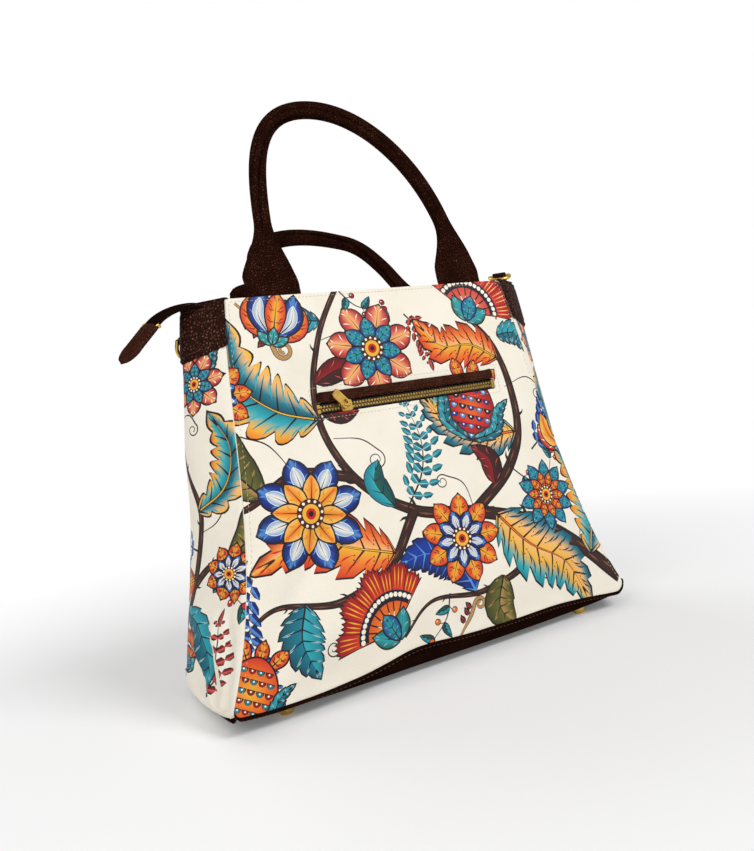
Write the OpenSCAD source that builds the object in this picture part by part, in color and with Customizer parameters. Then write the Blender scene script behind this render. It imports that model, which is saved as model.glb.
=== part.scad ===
// Handbag: an A-line canvas tote with rolled leather handles, a zipped front pocket and a leather base.
// X runs to the right of someone who faces the front, Y to the back, and Z up from the floor under the feet.

/* [Body] */
// Width of the front and back panels along the top edge
top_w = 254; // [230:1:290]
// Width of the front and back panels along the bottom seam
bottom_w = 360; // [330:1:400]
// Depth over both panels at the top edge
top_d = 34; // [32:1:50]
// Depth over both panels at the bottom seam
bottom_d = 128; // [110:1:150]
// Height of the top edge above the floor
bag_h = 300; // [280:1:340]
// How far the side seams draw in below the middle
waist = 12; // [0:0.5:18]
// How far a gusset stands out past its seams
ridge = 27; // [24:0.5:34]
// How far a gusset's top edge dips at its ridge
ridge_dip = 8; // [6:0.5:9]
// Canvas with its interlining
wall = 1.6; // [1.2:0.1:2.2]
// Room between canvas and lining
lining_gap = 4; // [4:0.1:6]
// Lining cloth
lining_t = 0.8; // [0.5:0.1:1.2]

/* [Base] */
// Height of the base's underside at its ends
base_h = 10; // [8:0.5:16]
// How far the base hangs lower in the middle than at its ends
base_sag = 4.5; // [2:0.5:6]
// Radius of a metal foot
foot_r = 7; // [5:0.5:10]
// Distance from a side seam's foot to the middle of a metal foot, from left to right
foot_in_x = 42; // [36:1:80]
// Distance from a panel's foot to the middle of a metal foot, from front to back
foot_in_y = 18; // [17:0.5:30]
// Leather of the base
base_t = 2; // [1.5:0.1:3]
// Height of the base's side wall at the ends
base_rim = 8; // [6:0.5:12]
// Rise of the bottom seam in the middle of a panel
seam_rise = 6; // [2:0.5:10]
// How far the base's side wall tucks under
base_tuck = 7; // [4:0.5:10]
// Board that stiffens the base
board_t = 2.5; // [1.5:0.1:4]
// Radius of a foot's rivet shank
shank_r = 1.5; // [1:0.1:2.5]
// Washer that spreads a rivet's pull
washer_t = 0.8; // [0.5:0.1:1.5]

/* [Handles] */
// Distance between the two tabs of a handle
handle_span = 172; // [150:1:184]
// Width of a handle tab where it leaves the top edge
tab_w = 44; // [34:1:50]
// Length over which a flat tab rolls up into the tube
tab_h = 50; // [40:1:60]
// Diameter of the rolled tube
tube_d = 13; // [11:0.5:16]
// Thickness of a tab at its fold line
fold_t = 2.4; // [2:0.1:3]
// Leather of the sewn-in leaf under a tab
leaf_t = 1.2; // [0.8:0.1:1.6]
// Length of the sewn-in leaf below the top edge
leaf_h = 22; // [15:1:30]
// Rise of the front handle over its fold line
front_drop = 138; // [110:1:160]
// Sideways place of the front handle's highest point
front_apex = -32; // [-50:1:40]
// Reach of the front handle's crown to the left and right of its highest point
front_near = 64; // [30:1:80]
front_far = 60; // [30:1:80]
// Height of the front handle's fold line over the top edge
front_fold = 8; // [7:0.5:12]
// Length of the rear handle over its fold line, along its lean
rear_drop = 147; // [110:1:160]
// Sideways place of the rear handle's furthest point
rear_apex = 57; // [-40:1:60]
// Reach of the rear handle's crown to the left and right of its furthest point
rear_near = 99; // [40:1:110]
rear_far = 48; // [30:1:80]
// Height of the rear handle's fold line over the top edge
rear_fold = 3.5; // [3.5:0.5:12]
// Backward lean of the rear handle at its fold line, left tab and right tab
rear_lean_left = 59; // [55:1:84]
rear_lean_right = 89; // [60:1:90]
// Backward lean of the rear handle at its furthest point
rear_lean_tip = 35; // [20:1:50]

/* [Main zip] */
// Depth of the zip tape below the top edge
zip_recess = 8.6; // [8:0.1:9.5]
// Thickness of a zip tape
tape_t = 0.7; // [0.5:0.1:0.9]
// Left end of the row of teeth
zip_left = -112; // [-116:1:-90]
// Right end of the row of teeth
zip_right = 106; // [80:1:108]
// Distance from tooth to tooth in a row
tooth_pitch = 2.6; // [2.2:0.1:4]
// Length of a tooth across the tape
tooth_l = 2; // [1.5:0.1:2.4]
// Height of a tooth
tooth_t = 1.6; // [1.4:0.1:2]
// Width of the zip tail that hangs over the left end
tail_w = 24; // [16:1:26]
// Thickness of the zip tail
tail_t = 1.2; // [0.8:0.1:1.6]
// How far inside the left end of the top edge the tail starts
tail_in = 6; // [2:0.5:12]
// How far left of its start the tail leaves upwards, turns over and ends
tail_lift_x = 13; // [8:1:20]
tail_turn_x = 44; // [25:1:48]
tail_end_x = 57; // [50:1:80]
// Height of the tail's pull points over the top edge where it leaves and turns over
tail_lift_z = 3; // [1:0.5:8]
tail_turn_z = 1.5; // [0:0.5:8]
// Drop of the tail's end below the top edge
tail_hang = 12; // [10:1:30]
// Length of the leather tab that caps the tail
end_tab_l = 37; // [20:1:40]
// Width of the leather tab that caps the tail
end_tab_w = 27; // [20:1:32]
// Thickness of the leather tab that caps the tail
end_tab_t = 4; // [3:0.5:6]

/* [Pocket] */
// Width of the pocket's window in the front panel
pocket_w = 168; // [120:1:180]
// Sideways place of the pocket's middle
pocket_x = 11; // [-15:1:15]
// Height of the pocket's row of teeth above the floor
pocket_z = 209.5; // [170:0.5:230]
// Distance of the slider from the pocket's left end
pocket_open = 25; // [10:1:140]
// Height of the padded leather lip
lip_h = 10; // [6:0.5:14]
// Thickness of the padded leather lip
lip_t = 2.4; // [1.5:0.1:2.6]
// Depth of the pouch below the teeth
pouch_h = 120; // [60:1:130]
// Turn of the pocket's pull out of the line of its zip
pull_turn = 41; // [0:1:42]
// Rise of the pocket's pull over the lip
pull_rise = 22; // [22:1:40]

/* [Corner leather and rings] */
// Height of a gusset's leather patch at the seams
patch_h = 35; // [25:1:60]
// How much lower the patch reaches at the ridge
patch_drop = 8; // [0:1:15]
// Leather of a patch
patch_t = 1.4; // [1:0.1:2]
// Radius of a ring's wire
wire_r = 1.5; // [1:0.1:2]
// Inner half width of a ring
ring_r = 7.5; // [6.5:0.1:9]
// Straight part of a ring's legs
ring_leg = 4; // [2:0.5:8]
// Width of the leather strip that holds a ring
strip_w = 12; // [8:0.5:12]
// Thickness of the leather strip that holds a ring
strip_t = 2.4; // [1.5:0.1:2.6]
// Length of the leather strip that holds a ring
strip_l = 20; // [12:1:26]
// How far toward the ridge the rings sit
ring_shift = 7; // [0:0.5:8]

/* [Hidden] */

canvas = "#efe6d0";
leather = "#3b1d14";
gold = "#c9a24a";
tape_brown = "#33190f";
cotton = "#c8b48f";

// Clearances: sewn faces, stacked sheets, running parts
sewn = 0.1;
seam_clear = 0.4;
run = 0.3;

// Bite of two joined solids into each other, and overshoot of a cut
bite = 0.2;
cut = 1;

seam_z = base_h + base_rim;
panel_rise = bag_h - seam_z;
slope = atan((bottom_d - top_d) / 2 / panel_rise);
slant = panel_rise / cos(slope);
wall_y = wall / cos(slope);
lining_out = wall + lining_gap;
lining_in = lining_out + lining_t;

// Layers over the base's underside, as a rivet passes through them
board_lift = base_t + sewn;
washer_lift = board_lift + board_t + sewn;
shank_top = washer_lift + washer_t + sewn;
rivet_head_t = 0.8;
rivet_lip = 1.2;
washer_in = 1;
board_in = 1.5;
board_edge = base_tuck + base_t + board_in;

// Feet stand square to the sagging base and are cut level where they meet the floor
foot_flat = 2.8;
foot_x = bottom_w / 2 - foot_in_x;
foot_tilt = atan(8 * base_sag / bottom_w * pow(2 * foot_x / bottom_w, 3));
foot_len = (under(foot_x) + foot_flat * sin(foot_tilt)) / cos(foot_tilt) + bite;
// Level down to which the lining clears the tucked side of the base
tuck_level = seam_z - (lining_out - base_t) * (base_rim - base_t) / base_tuck;
lining_floor = run + max(tuck_level, under(bottom_w / 2 - board_edge) + board_lift + board_t,
    under(foot_x) + (shank_top + rivet_head_t) * cos(foot_tilt) + (shank_r + rivet_lip) * sin(foot_tilt));

tape_z = bag_h - zip_recess;
chain_z = tape_z + tape_t / 2;
lining_top = tape_z - run;

// Share of a gusset's ridge lost at the base, and how soon it comes back further up
foot_tuck = 0.75;
foot_tuck_power = 8;
// Roundness of a gusset's ridge at the bottom and at the top
crease_low = 0.9;
crease_top = 0.18;

slit = 0.6;
bead_w = 0.8;
chain_half = slit + tooth_l + bead_w;
plate_t = 0.8;
plate_gap = tooth_t / 2 + run;
slider_l = 9.5;
plate_r = 1.6;
flange_t = 0.6;
slider_half = chain_half + run + flange_t;
post_l = 1.6;
post_in = 2.6;
bail_l = 5.2;
bail_w = 1.2;
bail_h = 2.7;
bail_t = 0.8;
bail_r = 0.9;
bail_end = 1.1;
pin_r = 0.6;
pin_z = plate_gap + plate_t + pin_r + 0.5;
pull_l = 17;
pull_w = 7.4;
pull_window = 4.6;
pull_rim = 1.2;
pull_r = 2.4;
stop_l = 2.2;
end_tab_flat = 1;

pocket_s = (pocket_z - seam_z) / cos(slope);
pocket_chain = -wall - sewn - tape_t / 2;
window_half = slider_half + run;
lip_s = 4.6;
pocket_tape = 12;
pocket_end = 3;
pocket_chain_w = pocket_w - 2 * pocket_end;
pocket_slider_x = pocket_open - pocket_w / 2;
window_r = 2;
tape_over = 4;
lip_in = 1;
pouch_over = 3;
pouch_t = 0.6;

fold_r = fold_t / 2 + sewn;
leaf_gap = 2.2;
leaf_mid = wall + run + leaf_t / 2;
patch_bow = 1.4;
ring_seat = sewn + patch_t + patch_bow;
eye_r = wire_r + run + sewn;
eye_wall = 1.5;
strip_low = 6;
ring_stand = 7;
ring_swing = 6;
ring_flop = 11;

gusset_rows = 14;
gusset_cols = 12;
tube_sides = 14;
tube_steps = 22;

function mix(a, b, t) = a + (b - a) * t;
function smooth(t) = let (c = min(max(t, 0), 1)) c * c * (3 - 2 * c);
function flat(grid) = [for (row = grid) each row];
function unit(p) = p / norm(p);
function level(z) = (z - seam_z) / panel_rise;

// Half width and half depth of the bag at a level from 0 at the bottom seam to 1 at the top edge
function half_w(v) = mix(bottom_w, top_w, v) / 2 - waist * v * pow(1 - v, 2) * 27 / 4;
function half_d(v) = mix(bottom_d, top_d, v) / 2;

// A gusset is rounded low down and creased to a ridge at the top
function bulge(v) = ridge * (1 - foot_tuck * pow(1 - v, foot_tuck_power));
function crease(v) = mix(crease_low, crease_top, v);
function hump(q, v) = let (c = crease(v)) 1 - (sqrt(q * q + c * c) - c) / (sqrt(1 + c * c) - c);
function side_x(y, v) = half_w(v) + bulge(v) * hump(y / half_d(v), v);
function steep(v) = sqrt(1 + pow(bulge(v) / half_d(v), 2));
function side_z(y, v) = mix(seam_z, bag_h, v) - ridge_dip * hump(y / half_d(v), v) * pow(v, 6);

// Rise of the bottom seam over its ends
function hem(x) = seam_rise * max(0, cos(180 * x / bottom_w));

// Height of the sagging base's underside
function under(x) = base_h - base_sag * (1 - pow(2 * x / bottom_w, 4));

// Level plan of the bag, drawn in from its outer faces by inset
function plan(v, inset) =
    let (a = half_w(v) - inset, b = half_d(v) - inset, n = 8)
    concat([[-a, -b], [a, -b]],
        [for (j = [1:n - 1]) let (q = 2 * j / n - 1) [a + bulge(v) * hump(q, v), b * q]],
        [[a, b], [-a, b]],
        [for (j = [1:n - 1]) let (q = 1 - 2 * j / n) [-a - bulge(v) * hump(q, v), b * q]]);

function at_z(points, z) = [for (p = points) [p[0], p[1], z]];

// Closed solid between two grids of points, a outside and b inside
module slab(a, b) {
    rows = len(a) - 1;
    cols = len(a[0]) - 1;
    m = cols + 1;
    k = (rows + 1) * m;
    outer = [for (i = [0:rows - 1], j = [0:cols - 1]) let (p = i * m + j)
        each [[p, p + m, p + m + 1], [p, p + m + 1, p + 1]]];
    inner = [for (f = outer) [f[0] + k, f[2] + k, f[1] + k]];
    foot = [for (j = [0:cols - 1]) each [[j, j + 1, j + 1 + k], [j, j + 1 + k, j + k]]];
    t = rows * m;
    head = [for (j = [t:t + cols - 1]) each [[j + 1, j, j + k], [j + 1, j + k, j + 1 + k]]];
    near = [for (i = [0:rows - 1]) let (p = i * m) each [[p + m, p, p + k], [p + m, p + k, p + m + k]]];
    far = [for (i = [0:rows - 1]) let (p = i * m + cols)
        each [[p, p + m, p + m + k], [p, p + m + k, p + k]]];
    polyhedron(concat(flat(a), flat(b)), concat(outer, inner, foot, head, near, far));
}

// Closed solid through a stack of loops
module loft(loops) {
    n = len(loops[0]);
    top = (len(loops) - 1) * n;
    sides = [for (i = [0:len(loops) - 2], k = [0:n - 1])
        let (a = i * n + k, b = i * n + (k + 1) % n)
        each [[a, a + n, b + n], [a, b + n, b]]];
    floor_face = [for (k = [0:n - 1]) k];
    roof_face = [for (k = [n - 1:-1:0]) top + k];
    polyhedron(flat(loops), concat(sides, [floor_face, roof_face]));
}

// Places its children in the plane of the front panel: x across, y up the slope, z out of the cloth
module on_front() {
    translate([0, -bottom_d / 2, seam_z]) rotate([90 - slope, 0, 0]) children();
}

module rounded(w, h, r) {
    square([w - 2 * r, h], center = true);
    square([w, h - 2 * r], center = true);
    for (x = [-1, 1], y = [-1, 1])
        translate([x * (w / 2 - r), y * (h / 2 - r)]) circle(r, $fn = 24);
}

module at_feet() {
    for (x = [-1, 1], y = [-1, 1])
        translate([x * foot_x, y * (bottom_d / 2 - foot_in_y), under(foot_x)])
            rotate([0, -x * foot_tilt, 0]) children();
}

// Panels of the shell
module panel_outline() {
    n = 16;
    polygon(concat(
        [for (i = [0:2 * n]) let (x = bottom_w / 2 * (i / n - 1)) [x, hem(x)]],
        [for (i = [1:n]) [half_w(i / n), slant * i / n]],
        [for (i = [n:-1:1]) [-half_w(i / n), slant * i / n]]));
}

module front_panel() {
    color(canvas) on_front() translate([0, 0, -wall]) linear_extrude(wall) difference() {
        panel_outline();
        translate([pocket_x, pocket_s]) rounded(pocket_w, 2 * window_half, window_r);
    }
}

module back_panel() {
    color(canvas) mirror([0, 1, 0]) on_front() translate([0, 0, -wall]) linear_extrude(wall) panel_outline();
}

function gusset_face(out) = [for (i = [0:gusset_rows])
    let (v = i / gusset_rows, reach = half_d(v) - wall_y - sewn)
    [for (j = [0:gusset_cols]) let (y = reach * (2 * j / gusset_cols - 1))
        [side_x(y, v) + out * steep(v), y, side_z(y, v)]]];

module gusset() {
    color(canvas) slab(gusset_face(0), gusset_face(-wall));
}

module right_gusset() {
    gusset();
}

module left_gusset() {
    mirror([1, 0, 0]) gusset();
}

function patch_face(out) = [for (i = [0:6])
    [for (j = [0:gusset_cols]) let (q = 2 * j / gusset_cols - 1,
            low = level(bag_h - patch_h - patch_drop * hump(q, 1)),
            v = mix(low, 1, i / 6), y = q * half_d(v))
        [side_x(y, v) + out * steep(v), y, side_z(y, v)]]];

module patch() {
    color(leather) slab(patch_face(sewn + patch_t), patch_face(sewn));
}

module right_patch() {
    patch();
}

module left_patch() {
    mirror([1, 0, 0]) patch();
}

// Base with its metal feet
module base_block(inset, lift) {
    n = 28;
    a = bottom_w / 2 - inset - base_tuck;
    b = bottom_d / 2 - inset - base_tuck;
    hull() {
        translate([0, 0, seam_z]) linear_extrude(seam_rise) polygon(plan(0, inset));
        translate([0, 0, base_h + lift]) linear_extrude(bite) polygon(plan(0, inset + base_tuck));
        for (i = [0:n]) let (x = a * (2 * i / n - 1))
            translate([x, 0, under(x) + lift + bite / 2]) cube([bite, 2 * b, bite], center = true);
    }
}

module base_panel() {
    n = 24;
    w = bottom_w;
    color(leather) difference() {
        base_block(0, 0);
        base_block(base_t, base_t);
        translate([0, bottom_d, 0]) rotate([90, 0, 0]) linear_extrude(2 * bottom_d) polygon(concat(
            [for (i = [0:n]) let (x = w * (i / n - 0.5)) [x, seam_z + hem(x) * cos(slope) - seam_clear]],
            [[w, seam_z - seam_clear], [w, bag_h], [-w, bag_h], [-w, seam_z - seam_clear]]));
        at_feet() translate([0, 0, -cut]) cylinder(base_t + 2 * cut, r = shank_r + sewn, $fn = 32);
    }
}

module base_board() {
    n = 28;
    w = bottom_w - 2 * board_edge;
    xs = [for (i = [0:n]) w * (i / n - 0.5)];
    color("#8a6a45") difference() {
        rotate([90, 0, 0]) linear_extrude(bottom_d - 2 * board_edge, center = true) polygon(concat(
            [for (i = [0:n]) [xs[i], under(xs[i]) + board_lift]],
            [for (i = [n:-1:0]) [xs[i], under(xs[i]) + board_lift + board_t]]));
        at_feet() translate([0, 0, board_lift - cut])
            cylinder(board_t + 2 * cut, r = shank_r + sewn, $fn = 32);
    }
}

module foot() {
    dome = foot_len - sewn;
    rotate_extrude($fn = 48) polygon(concat([[0, -sewn], [0, -foot_len]],
        [for (a = [0:15:90]) [mix(foot_flat, foot_r, sin(a)), -sewn - dome * cos(a)]]));
    translate([0, 0, -sewn - bite]) cylinder(shank_top + sewn + 2 * bite, r = shank_r, $fn = 32);
    translate([0, 0, shank_top]) cylinder(rivet_head_t, r = shank_r + rivet_lip, $fn = 32);
}

module feet() {
    color(gold) difference() {
        at_feet() foot();
        translate([0, 0, -cut / 2]) cube([bottom_w, bottom_d, cut], center = true);
    }
}

module foot_washers() {
    color(gold) at_feet() translate([0, 0, washer_lift]) difference() {
        cylinder(washer_t, r = foot_r - washer_in, $fn = 32);
        translate([0, 0, -cut]) cylinder(washer_t + 2 * cut, r = shank_r + sewn, $fn = 32);
    }
}

// Lining: a thin open bag inside the shell
module lining() {
    n = 9;
    color(cotton) difference() {
        loft([for (i = [0:n]) let (z = mix(lining_floor, lining_top, i / n))
            at_z(plan(max(level(z), 0), lining_out), z)]);
        loft([for (i = [0:n]) let (z = mix(lining_floor + lining_t, lining_top + cut, i / n))
            at_z(plan(max(level(z), 0), lining_in), z)]);
    }
}

// Rings: a leather strip on the back half of a gusset holds each one and tilts as the gusset does
function back_half(v) = [half_w(v) + bulge(v) * hump(1 / 2, v), half_d(v) / 2];
ring_tilt = atan((back_half(level(bag_h - patch_h)) - back_half(1))
    * unit([half_d(1), bulge(1)]) / patch_h);

module on_back_half() {
    translate([half_w(1) + bulge(1) / 2, half_d(1) / 2, bag_h])
        rotate([0, 0, -atan(half_d(1) / bulge(1))]) rotate([ring_tilt, 0, 0]) children();
}

// Strip along z with its eye at the origin; up is 1 where the strip rises from the eye and -1 where it drops
module ring_strip(up) {
    eye = eye_r + eye_wall;
    color(leather) difference() {
        union() {
            rotate([0, 90, 0]) cylinder(strip_w, r = eye, center = true, $fn = 48);
            translate([-strip_w / 2, -eye, up > 0 ? 0 : -strip_l]) cube([strip_w, strip_t, strip_l]);
        }
        rotate([0, 90, 0]) cylinder(strip_w + 2 * cut, r = eye_r, center = true, $fn = 48);
    }
}

// Ring with its bar along x at the origin and its bow down
module ring() {
    mid = ring_r + wire_r;
    color(gold) {
        rotate([0, 90, 0]) cylinder(2 * mid, r = wire_r, center = true, $fn = 32);
        for (x = [-mid, mid]) {
            translate([x, 0, 0]) sphere(wire_r, $fn = 32);
            translate([x, 0, -ring_leg]) cylinder(ring_leg, r = wire_r, $fn = 32);
        }
        translate([0, 0, -ring_leg]) rotate([90, 0, 0]) rotate([0, 0, 180])
            rotate_extrude(angle = 180, $fn = 64) translate([mid, 0]) circle(wire_r, $fn = 32);
    }
}

left_eye = [ring_shift, ring_seat + eye_r + eye_wall, -strip_low - strip_l];
right_eye = [ring_shift, ring_seat + eye_r + eye_wall, ring_stand];

module left_ring_strip() {
    mirror([1, 0, 0]) on_back_half() translate(left_eye) ring_strip(1);
}

module right_ring_strip() {
    on_back_half() translate(right_eye) ring_strip(-1);
}

module left_ring() {
    mirror([1, 0, 0]) on_back_half() translate(left_eye) rotate([ring_swing, 0, 0]) ring();
}

module right_ring() {
    on_back_half() translate(right_eye) rotate([ring_flop - 90, 0, 0]) ring();
}

// Handles: flat tabs that roll up into a tube
function bezier(p, t) = p[0] * pow(1 - t, 3) + p[1] * 3 * t * pow(1 - t, 2) + p[2] * 3 * t * t * (1 - t)
    + p[3] * pow(t, 3);

// Arch in its own sheet: x across and the way up from the fold line; t runs from 0 over 1 at the apex to 2
function arch(t, drop, apex, near, far) =
    let (x = handle_span / 2)
    t < 1 ? bezier([[-x, 0], [-x, drop / 2], [apex - near, drop], [apex, drop]], t)
        : bezier([[apex, drop], [apex + far, drop], [x, drop / 2], [x, 0]], t - 1);

// The sheet leans back as it rises, from the left and right angles of its root to the one of its tip
function root_at(x, root) = mix(root[0], root[1], x / handle_span + 1 / 2);
function lean_at(p, drop, root, tip) = mix(root_at(p[0], root), tip, p[1] / drop);
function sheet_point(p, fold, drop, root, tip) =
    let (from = root_at(p[0], root), k = (tip - from) / drop * PI / 180, now = lean_at(p, drop, root, tip))
    abs(k) < 0.00001 ? [p[0], fold[0] + p[1] * sin(from), fold[1] + p[1] * cos(from)]
        : [p[0], fold[0] + (cos(from) - cos(now)) / k, fold[1] + (sin(now) - sin(from)) / k];

function bend(c, power) = sign(c) * pow(abs(c), power);

module handle(fold, drop, apex, near, far, root, tip) {
    step = 0.01;
    loops = [for (i = [0:2 * tube_steps])
        let (t = i / tube_steps, p = arch(t, drop, apex, near, far), f = smooth(p[1] / tab_h),
            here = sheet_point(p, fold, drop, root, tip),
            ahead = sheet_point(arch(min(t + step, 2), drop, apex, near, far), fold, drop, root, tip),
            behind = sheet_point(arch(max(t - step, 0), drop, apex, near, far), fold, drop, root, tip),
            now = lean_at(p, drop, root, tip), way = unit(ahead - behind),
            across = unit(cross([0, cos(now), -sin(now)], way)), out = cross(way, across),
            w = mix(tab_w, tube_d, f) / 2, h = mix(fold_t, tube_d, f) / 2, power = mix(0.5, 1, f))
        [for (k = [0:tube_sides - 1]) let (a = 360 * k / tube_sides)
            here + across * w * bend(cos(a), power) + out * h * bend(sin(a), power)]];
    color(leather) {
        loft(loops);
        for (x = [-1, 1]) translate([x * handle_span / 2, fold[0], fold[1]])
            rotate([0, 90, 0]) cylinder(tab_w, r = fold_r, center = true, $fn = 24);
    }
}

function fold_y(rise) = bottom_d / 2 - (slant + rise) * sin(slope) - leaf_mid * cos(slope);
function fold_z(rise) = seam_z + (slant + rise) * cos(slope) - leaf_mid * sin(slope);

module front_handle() {
    handle([-fold_y(front_fold), fold_z(front_fold)], front_drop, front_apex, front_near, front_far, [0, 0], 0);
}

module rear_handle() {
    handle([fold_y(rear_fold), fold_z(rear_fold)], rear_drop, rear_apex, rear_near, rear_far,
        [rear_lean_left, rear_lean_right], rear_lean_tip);
}

module handle_leaves(fold) {
    h = leaf_h + fold - leaf_gap;
    color(leather) on_front() for (x = [-1, 1])
        translate([x * handle_span / 2, slant - leaf_h + h / 2, -leaf_mid - leaf_t / 2])
            linear_extrude(leaf_t) square([tab_w, h], center = true);
}

module front_handle_leaves() {
    handle_leaves(front_fold);
}

module rear_handle_leaves() {
    mirror([0, 1, 0]) handle_leaves(rear_fold);
}

// Zip pieces, along x about the middle of the chain
module teeth(length, phase) {
    n = floor(length / tooth_pitch) - 1;
    w = tooth_pitch / 2;
    tip = slit;
    root = slit + tooth_l;
    translate([0, 0, -tooth_t / 2]) linear_extrude(tooth_t) polygon(concat(
        [[length / 2, root], [length / 2, root + bead_w], [-length / 2, root + bead_w], [-length / 2, root]],
        [for (i = [0:n]) let (x = -length / 2 + phase * w + i * tooth_pitch + w / 4)
            each [[x, root], [x, tip], [x + w, tip], [x + w, root]]]));
}

module slider() {
    flange = plate_gap - tape_t / 2 - run;
    color(gold) {
        for (side = [0, 1]) mirror([0, 0, side]) {
            translate([0, 0, plate_gap]) linear_extrude(plate_t) rounded(slider_l, 2 * slider_half, plate_r);
            for (turn = [0, 180]) rotate([0, 0, turn])
                translate([plate_r - slider_l / 2, slider_half - flange_t, plate_gap - flange])
                    cube([slider_l - 2 * plate_r, flange_t, flange + bite]);
        }
        translate([slider_l / 2 - post_in, bite - slit, -plate_gap - bite])
            cube([post_l, 2 * (slit - bite), 2 * (plate_gap + bite)]);
        translate([0, 0, plate_gap + plate_t + bail_h / 2 - bite / 2]) rotate([90, 0, 0])
            linear_extrude(bail_w, center = true) difference() {
                rounded(bail_l, bail_h + bite, bail_r);
                translate([0, -bail_t]) square([bail_l - 2 * bail_end, bail_h + bite], center = true);
            }
    }
}

// Pull with its pin along y at the origin, its plate towards +x
module pull() {
    color(gold) {
        rotate([90, 0, 0]) cylinder(pull_w, r = pin_r, center = true, $fn = 24);
        translate([0, 0, -pin_r]) linear_extrude(2 * pin_r) difference() {
            translate([pull_l / 2, 0]) union() {
                rounded(pull_l, pull_w, pull_r);
                translate([-pull_l / 4, 0]) square([pull_l / 2, pull_w], center = true);
            }
            translate([pin_r / 2, pull_rim - pull_w / 2]) square([pull_window, pull_w - 2 * pull_rim]);
        }
    }
}

slider_left = zip_left + slider_l / 2 + 2 * run;

module zip_teeth(phase) {
    length = zip_right - zip_left;
    color(gold) translate([zip_left + length / 2, 0, chain_z]) teeth(length, phase);
}

module zip_teeth_front() {
    mirror([0, 1, 0]) zip_teeth(0);
}

module zip_teeth_rear() {
    zip_teeth(1);
}

module zip_tape() {
    v = level(tape_z);
    low = chain_half + sewn;
    high = half_d(v) - (wall + run + leaf_t) / cos(slope) - run;
    edge = [for (i = [0:8])
        let (y = mix(low, high, i / 8), dipped = level(tape_z + ridge_dip * hump(y / half_d(v), v)))
        [side_x(y, dipped) - wall * steep(v) - 2 * run, y]];
    color(tape_brown) translate([0, 0, tape_z]) linear_extrude(tape_t) polygon(concat(edge,
        [for (i = [8:-1:0]) [-edge[i][0], edge[i][1]]]));
}

module zip_tape_front() {
    mirror([0, 1, 0]) zip_tape();
}

module zip_tape_rear() {
    zip_tape();
}

module end_stops(left, right) {
    color(gold) {
        for (y = [-1, 1]) translate([left - stop_l / 2 - sewn, y * (chain_half + slit) / 2, 0])
            cube([stop_l, chain_half - slit, tooth_t], center = true);
        translate([right + stop_l / 2 + sewn, 0, 0]) cube([stop_l, 2 * chain_half, tooth_t], center = true);
    }
}

module zip_stops() {
    translate([0, 0, chain_z]) end_stops(zip_left, zip_right);
}

module zip_slider() {
    translate([slider_left, 0, chain_z]) slider();
}

module zip_pull() {
    translate([slider_left, 0, chain_z + pin_z]) pull();
}

// Tail: the tape rises over the left end of the bag and droops outside it
tail_start = tail_in - half_w(1);
tail_z = tape_z + tape_t + run + tail_t / 2;
tail_curve = [[tail_start, tail_z], [tail_start - tail_lift_x, bag_h + tail_lift_z],
    [tail_start - tail_turn_x, bag_h + tail_turn_z], [tail_start - tail_end_x, bag_h - tail_hang]];
tail_drop = atan2(tail_curve[2][1] - tail_curve[3][1], tail_curve[2][0] - tail_curve[3][0]);

module zip_tail() {
    n = 12;
    function side(k) = [for (i = [0:n])
        let (a = bezier(tail_curve, max(i - 0.5, 0) / n), b = bezier(tail_curve, min(i + 0.5, n) / n),
            d = unit(b - a))
        bezier(tail_curve, i / n) + [-d[1], d[0]] * k * tail_t / 2];
    lower = side(1);
    color(tape_brown) rotate([90, 0, 0]) linear_extrude(tail_w, center = true)
        polygon(concat(side(-1), [for (i = [n:-1:0]) lower[i]]));
}

module zip_end_tab() {
    r = end_tab_w / 2 - end_tab_flat;
    color(leather) translate([tail_curve[3][0], 0, tail_curve[3][1]]) rotate([0, -tail_drop, 0])
        translate([-sewn, 0, -end_tab_t / 2]) linear_extrude(end_tab_t) union() {
            translate([r - end_tab_l, -end_tab_w / 2]) square([end_tab_l - r, end_tab_w]);
            for (y = [-end_tab_flat, end_tab_flat]) translate([r - end_tab_l, y]) circle(r, $fn = 48);
            translate([-end_tab_l, -end_tab_flat]) square([r, 2 * end_tab_flat]);
        }
}

// Pocket in the front panel
module at_pocket(depth) {
    on_front() translate([pocket_x, pocket_s, depth]) children();
}

module pocket_lip() {
    length = pocket_w - 2 * lip_in;
    color(leather) at_pocket(run / 2) translate([-length / 2, lip_s, 0]) rotate([90, 0, 90])
        linear_extrude(length) polygon(concat([[lip_h, 0], [0, 0]],
            [for (a = [0:15:180]) [lip_h / 2 * (1 - cos(a)), lip_t / 3 + lip_t * 2 / 3 * sin(a)]]));
}

module pocket_tape() {
    color(tape_brown) at_pocket(pocket_chain - tape_t / 2) linear_extrude(tape_t)
        translate([-pocket_w / 2 - tape_over, chain_half + sewn])
            square([pocket_w + 2 * tape_over, pocket_tape - chain_half - sewn]);
}

module pocket_tape_upper() {
    pocket_tape();
}

module pocket_tape_lower() {
    color(tape_brown) at_pocket(pocket_chain - tape_t / 2) linear_extrude(tape_t)
        translate([-pocket_w / 2 - tape_over, -pocket_tape])
            square([pocket_w + 2 * tape_over, pocket_tape - chain_half - sewn]);
}

module pocket_teeth_upper() {
    color(gold) at_pocket(pocket_chain) teeth(pocket_chain_w, 0);
}

module pocket_teeth_lower() {
    color(gold) at_pocket(pocket_chain) mirror([0, 1, 0]) teeth(pocket_chain_w, 1);
}

module pocket_stops() {
    at_pocket(pocket_chain) end_stops(-pocket_chain_w / 2, pocket_chain_w / 2);
}

module pocket_slider() {
    at_pocket(pocket_chain) translate([pocket_slider_x, 0, 0]) slider();
}

module pocket_pull() {
    at_pocket(pocket_chain) translate([pocket_slider_x, 0, pin_z])
        rotate([0, 0, 180 - pull_turn]) rotate([0, -pull_rise, 0]) pull();
}

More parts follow.
